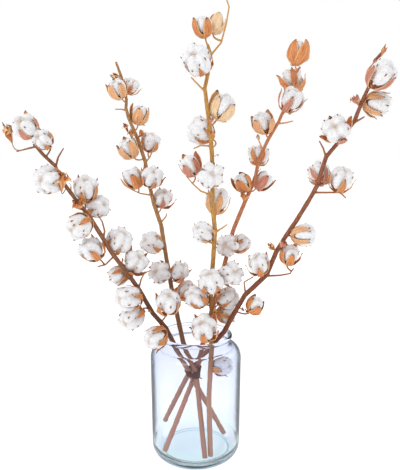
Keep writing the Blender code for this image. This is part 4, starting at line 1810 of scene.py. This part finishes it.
@dataclass
class GlassVase:
    """The clear jar vase: a blown wall with a heavy base, a soft shoulder and a rolled lip."""

    shelf: Shelf
    finish: GlassFinish = GlassFinish()
    wall: float = 0.0020
    floor: float = 0.0088
    foot_radius: float = 0.054
    taper: float = 0.0015
    shoulder_top: float = 0.194
    shoulder_foot: float = 0.167
    hollow: float = 0.24
    neck: float = 0.0575
    lip: float = 0.0600
    lip_height: float = 0.007
    kick: float = 0.0010
    steps: int = 144
    arc_steps: int = 14
    waviness: float = 0.0003
    wave_foot: tuple = (0.004, 0.03)
    wave_scale: tuple = (22, 22, 7)
    hold: float = 0.0005

    def __post_init__(self) -> None:
        """Reads the height and width from the solid."""
        low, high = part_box("glass_vase")
        self.height = float(high[2])
        self.radius = float(high[0] - low[0]) / 2

    def arc(self, centre: tuple, radii: tuple, start: float, end: float) -> list[tuple]:
        """Points of an arc.

        Args:
            centre: Its centre.
            radii: Its reach across and up.
            start: Where it starts, in quarter turns from straight out.
            end: Where it ends, in the same measure.

        Returns:
            The points, both ends among them.
        """
        shares = [i / self.arc_steps for i in range(self.arc_steps + 1)]
        angles = [(start + (end - start) * share) * math.pi / 2 for share in shares]
        return [(centre[0] + radii[0] * math.cos(a), centre[1] + radii[1] * math.sin(a)) for a in angles]

    def shoulder(self, neck: float, body: float, top: float, foot: float) -> list[tuple]:
        """A shoulder from the body up to the neck: a wide round quarter, then a small hollow one.

        Args:
            neck: The neck's radius.
            body: The body's radius.
            top: The height where the neck starts.
            foot: The height where the body ends.

        Returns:
            The points, from the body to the neck.
        """
        turn = (neck + (body - neck) * self.hollow, top - (top - foot) * self.hollow)
        crown = self.arc((turn[0], foot), (body - turn[0], turn[1] - foot), 0, 1)
        hollow = self.arc((turn[0], top), (turn[0] - neck, top - turn[1]), 3, 2)
        return crown + hollow[1:]

    def profile(self) -> list[tuple]:
        """The outer side from the middle of the underside up, over the lip and down to the floor's middle."""
        corner = self.radius - self.taper - self.foot_radius
        heel = self.arc((self.foot_radius, corner), (corner, corner), -1, 0)
        shoulder = self.shoulder(self.neck, self.radius, self.shoulder_top, self.shoulder_foot)
        roll = self.lip_height / 2
        lip = self.arc((self.lip - roll, self.height - roll), (roll, roll), -0.7, 1)
        inner = self.neck - self.wall
        edge = self.lip_height / 4
        mouth = self.arc((inner + edge, self.height - edge), (edge, edge), 1, 2)
        under = inset(shoulder, self.wall)[::-1]
        bend = self.radius - self.wall - self.taper - self.foot_radius
        floor = self.arc((self.foot_radius, self.floor + bend), (bend, bend), 0, -1)
        push = [(self.foot_radius * share, self.floor + self.kick * (1 - share**2))
                for share in (0.75, 0.5, 0.25)]
        line = [(0, 0), (self.foot_radius / 2, 0)] + heel + shoulder + lip + mouth + under + floor + push
        return held(line + [(0, self.floor + self.kick)], self.hold)

    def build(self) -> None:
        """Makes the vase."""
        skin = turned(self.profile(), self.steps)
        inside = np.linalg.norm(skin.points[:, :2], axis=1)
        for number, point in enumerate(skin.points):
            share = smooth_step(point[2:3], *self.wave_foot)[0] * min(1.0, inside[number] / self.foot_radius)
            wave = noise.noise(Vector(point * self.wave_scale)) * self.waviness * share
            skin.points[number, :2] *= 1 + wave / max(inside[number], self.wall)
        piece("blown_vase", skin, [self.finish.material(self.shelf)], ["glass_vase"])


def held(line: Sequence[tuple], margin: float) -> list[tuple]:
    """A profile with a point added near each end of its long stretches, which keeps them straight.

    Args:
        line: The profile's points.
        margin: How near to the ends the new points are.

    Returns:
        The profile with its new points.
    """
    points = [line[0]]
    for first, last in zip(line, line[1:]):
        start, end = Vector(first), Vector(last)
        span = (end - start).length
        if span > margin * 4:
            points += [tuple(start.lerp(end, margin / span)), tuple(end.lerp(start, margin / span))]
        points.append(last)
    return points


def inset(line: Sequence[tuple], distance: float) -> list[tuple]:
    """A profile's points moved to the left of the way that it runs.

    Args:
        line: The points.
        distance: How far to move them.

    Returns:
        The moved points.
    """
    points = np.array(line, float)
    runs = unit(np.gradient(points, axis=0))
    left = np.stack([-runs[:, 1], runs[:, 0]], axis=1)
    return [tuple(point) for point in points + left * distance]


@dataclass
class TwineTie:
    """Turns of dark twine round the stems where they cross, with a knot and two short ends."""

    shelf: Shelf
    finish: TwineFinish = TwineFinish()
    radius: float = 0.0010
    turns: int = 6
    creep: float = 0.004
    per_turn: int = 40
    slack: float = 0.0003
    round_steps: int = 12
    search: float = 2.0
    twist: float = 900.0
    spacing: float = 0.0006
    knot_points: int = 34
    knot_turns: float = 1.6
    knot_size: tuple = (0.0028, 0.0012, 0.0022)

    def stem_rings(self, height: float) -> list[Vector]:
        """Points round the tied stems, on their bark.

        Args:
            height: The height to read them at.

        Returns:
            The points, seen from above.
        """
        spots = []
        low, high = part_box("stem_tie")
        middle = Vector(((low[0] + high[0]) / 2, (low[1] + high[1]) / 2))
        reach = (high[0] - low[0]) / 2
        for letter in "abde":
            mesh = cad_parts[f"stem_{letter}"].data
            points = np.array([vertex.co for vertex in mesh.vertices])
            edges = np.array([edge.vertices[:] for edge in mesh.edges])
            a, b = points[edges[:, 0]], points[edges[:, 1]]
            cut = (a[:, 2] - height) * (b[:, 2] - height) < 0
            share = ((height - a[cut, 2]) / (b[cut, 2] - a[cut, 2]))[:, None]
            ring = (a[cut] + (b[cut] - a[cut]) * share)[:, :2]
            near = ring[np.linalg.norm(ring - np.array(middle), axis=1) < reach * self.search]
            spots += [Vector(spot) for spot in near]
        return spots

    def loop(self, height: float) -> list[Vector]:
        """The twine's way once round the stems.

        Args:
            height: The height that it runs at.

        Returns:
            Even points from the front, seen from above.
        """
        reach = self.radius + self.slack
        cloud = [spot + Vector((math.cos(a), math.sin(a))) * reach for spot in self.stem_rings(height)
                 for a in np.arange(self.round_steps) * 2 * math.pi / self.round_steps]
        hull = [cloud[number] for number in convex_hull_2d(cloud)]
        middle = sum(hull, Vector((0, 0))) / len(hull)
        angles = -math.pi / 2 + np.arange(self.per_turn) * 2 * math.pi / self.per_turn
        return [middle + ray_to_hull(middle, Vector((math.cos(a), math.sin(a))), hull) for a in angles]

    def route(self) -> list[Vector]:
        """All the turns, climbing from the bottom of the tie to its top."""
        low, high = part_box("stem_tie")
        foot, rise = low[2] + self.radius, high[2] - low[2] - 2 * self.radius + self.creep
        points = []
        for turn in range(self.turns):
            ring = self.loop(foot + rise * (turn + 0.5) / self.turns)
            for step, spot in enumerate(ring):
                share = (turn + step / self.per_turn) / self.turns
                points.append(Vector((*spot, foot + rise * share)))
        return points

    def knot(self, around: Vector) -> list[list[Vector]]:
        """A lumpy overhand knot and the two loose ends.

        Args:
            around: The knot's place on the twine.

        Returns:
            The three lines that the twine follows.
        """
        wide, deep, tall = self.knot_size
        lump = []
        for step in range(self.knot_points):
            t = step / (self.knot_points - 1) * 2 * math.pi * self.knot_turns
            lump.append(around + Vector((math.sin(t) * wide, -0.0016 + math.cos(2 * t) * deep,
                                         math.sin(2 * t + 0.6) * tall)))
        right = [around + Vector((0.002 + 0.010 * s, -0.002 - 0.003 * math.sin(s * 3), 0.001 - 0.006 * s * s))
                 for s in np.linspace(0, 1, 10)]
        down = [around + Vector((-0.001 - 0.003 * s, -0.002 - 0.002 * math.sin(s * 3), -0.001 - 0.010 * s))
                for s in np.linspace(0, 1, 9)]
        return [lump, right, down]

    def build(self) -> None:
        """Makes the tie."""
        dark = self.finish.material(self.shelf)
        route = self.route()
        curves = bpy.data.curves.new("twine", "CURVE")
        curves.dimensions = "3D"
        for line in [route, *self.knot(route[len(route) // 2])]:
            spline = curves.splines.new("POLY")
            spline.points.add(len(line) - 1)
            for knot, point in zip(spline.points, line):
                knot.co = (*point, 1)
        mesh = run_tree(curves, self.shelf.twine, {
            "Radius": self.radius, "Twist": self.twist, "Spacing": self.spacing, "Finish": dark})
        piece("twine_wrap", Skin.of_mesh(mesh), [dark], ["stem_tie"])


def ray_to_hull(start: Vector, way: Vector, hull: Sequence[Vector]) -> Vector:
    """How far it is from a point inside a hull to its edge.

    Args:
        start: The point inside.
        way: The unit direction to go.
        hull: The corners, in order.

    Returns:
        The vector from the point to the edge.
    """
    best = 0.0
    for first, last in zip(hull, [*hull[1:], hull[0]]):
        side = last - first
        across = way.cross(side)
        if abs(across) < 1e-12:
            continue
        reach = (first - start).cross(side) / across
        share = (first - start).cross(way) / across
        if reach > 0 and -1e-6 <= share <= 1 + 1e-6:
            best = max(best, reach)
    return way * best


# ---------------------------------------------------------------- studio


@dataclass
class Studio:
    """A white floor under even white light, and the camera in front of the vase."""

    eye: Vector = field(default_factory=lambda: Vector((0.007, -0.849, 0.5075)))
    aim: Vector = field(default_factory=lambda: Vector((0, 0, 0.35)))
    pitch: float = 9.1
    lens: float = 41.06
    film: float = 36.0
    floor_size: float = 40.0
    floor_drop: float = 0.0002
    floor_glow: float = 0.30
    surround: float = 0.90
    gloss_surround: float = 0.35
    gloss_floor: float = 0.70

    def build_floor(self) -> None:
        """A plain pale floor."""
        mesh = bpy.data.meshes.new("floor")
        half = self.floor_size / 2
        corners = [(x * half, y * half, -self.floor_drop) for x, y in ((-1, -1), (1, -1), (1, 1), (-1, 1))]
        mesh.from_pydata(corners, [], [(0, 1, 2, 3)])
        floor = shown("floor", mesh)
        paper = bpy.data.materials.new("white_paper")
        paper.use_nodes = True
        shader = paper.node_tree.nodes["Principled BSDF"]
        shader.inputs["Base Color"].default_value = (0.93, 0.93, 0.93, 1)
        shader.inputs["Roughness"].default_value = 0.9
        shader.inputs["Specular IOR Level"].default_value = 0.1
        shader.inputs["Emission Color"].default_value = (1, 1, 1, 1)
        shader.inputs["Emission Strength"].default_value = self.floor_glow
        board = Board(paper.node_tree)
        path = board.add("ShaderNodeLightPath").outputs
        gloss = board.maths("SUBTRACT", path["Is Glossy Ray"], path["Is Transmission Ray"])
        dim = board.add("ShaderNodeEmission", {"Strength": self.gloss_floor})
        both = board.add("ShaderNodeMixShader", {0: gloss, 1: shader.outputs[0], 2: dim.outputs[0]})
        board.link(both.outputs[0], paper.node_tree.nodes["Material Output"].inputs["Surface"])
        mesh.materials.append(paper)

    def build_light(self) -> None:
        """An even white surround, a soft key from the upper left and a weaker fill."""
        world = bpy.data.worlds.new("white_room")
        world.use_nodes = True
        board = Board(world.node_tree)
        path = board.add("ShaderNodeLightPath").outputs
        seen = board.maths("MAXIMUM", path["Is Camera Ray"], path["Is Transmission Ray"])
        unseen = board.span(path["Is Glossy Ray"], To_Min=self.surround, To_Max=self.gloss_surround)
        strength = board.span(seen, To_Min=unseen, To_Max=1.0)
        background = world.node_tree.nodes["Background"]
        background.inputs["Color"].default_value = (1, 1, 1, 1)
        board.link(strength, background.inputs["Strength"])
        bpy.context.scene.world = world
        self.lamp("key", (-1.2, -1.4, 1.9), 14.5, 1.2)
        self.lamp("fill", (1.5, 0.6, 1.3), 6.0, 1.4)

    def lamp(self, name: str, place: tuple, power: float, size: float) -> None:
        """A square soft light that faces the middle of the bunch.

        Args:
            name: The light's name.
            place: Where it hangs.
            power: Its power, in watts.
            size: The length of its sides.
        """
        light = bpy.data.lights.new(name, "AREA")
        light.energy = power
        light.size = size
        thing = bpy.data.objects.new(name, light)
        thing.location = place
        thing.rotation_euler = (self.aim - Vector(place)).to_track_quat("-Z", "Y").to_euler()
        bpy.context.scene.collection.objects.link(thing)

    def build_camera(self) -> None:
        """The camera, a little above the vase and looking down on it."""
        data = bpy.data.cameras.new("front")
        data.lens = self.lens
        data.sensor_width = self.film
        camera = bpy.data.objects.new("front", data)
        camera.location = self.eye
        camera.rotation_euler = (math.radians(90 - self.pitch), 0, 0)
        bpy.context.scene.collection.objects.link(camera)
        bpy.context.scene.camera = camera

    def build(self) -> None:
        """Sets up the whole studio."""
        bpy.context.scene.view_settings.view_transform = "Standard"
        self.build_camera()
        self.build_floor()
        self.build_light()


# Each foot colour is the glass's reflection painted over the bark inside the vase.
BARKS = (
    BarkFinish("a", dark=srgb(96, 54, 32), light=srgb(172, 116, 78), low=srgb(88, 52, 36),
               foot=srgb(182, 128, 108), twig=srgb(162, 108, 66)),
    BarkFinish("b", dark=srgb(122, 80, 42), light=srgb(198, 150, 98), low=srgb(100, 56, 40),
               foot=srgb(178, 124, 104), twig=srgb(200, 146, 90)),
    BarkFinish("c", dark=srgb(138, 92, 34), light=srgb(216, 164, 86), low=srgb(136, 90, 50),
               foot=srgb(182, 130, 108), twig=srgb(208, 154, 84)),
    BarkFinish("d", dark=srgb(146, 78, 48), light=srgb(218, 148, 104), low=srgb(120, 66, 44),
               foot=srgb(186, 130, 110), twig=srgb(220, 152, 98)),
    BarkFinish("e", dark=srgb(92, 46, 28), light=srgb(172, 106, 72), low=srgb(106, 52, 30),
               foot=srgb(180, 126, 106), twig=srgb(170, 108, 68)),
)


def main() -> None:
    """Builds the studio, the vase, the tie and the five stems."""
    logging.basicConfig(level=logging.INFO, format="%(name)s: %(message)s")
    noise.seed_set(NOISE_SEED)
    Studio().build()
    shelf = Shelf.stocked()
    GlassVase(shelf).build()
    TwineTie(shelf).build()
    lint = CottonFinish().material(shelf)
    walls = {tint: tint.value.material(shelf) for tint in Tint}
    ball = EvenBall(26)
    for finish in BARKS:
        stem = CottonStem(finish.stem, finish, shelf, lint, walls, ball)
        stem.build_bark()
        stem.build_bolls()
        stem.build_late_bolls()
        stem.build_scraps()


if __name__ == "__main__":
    main()
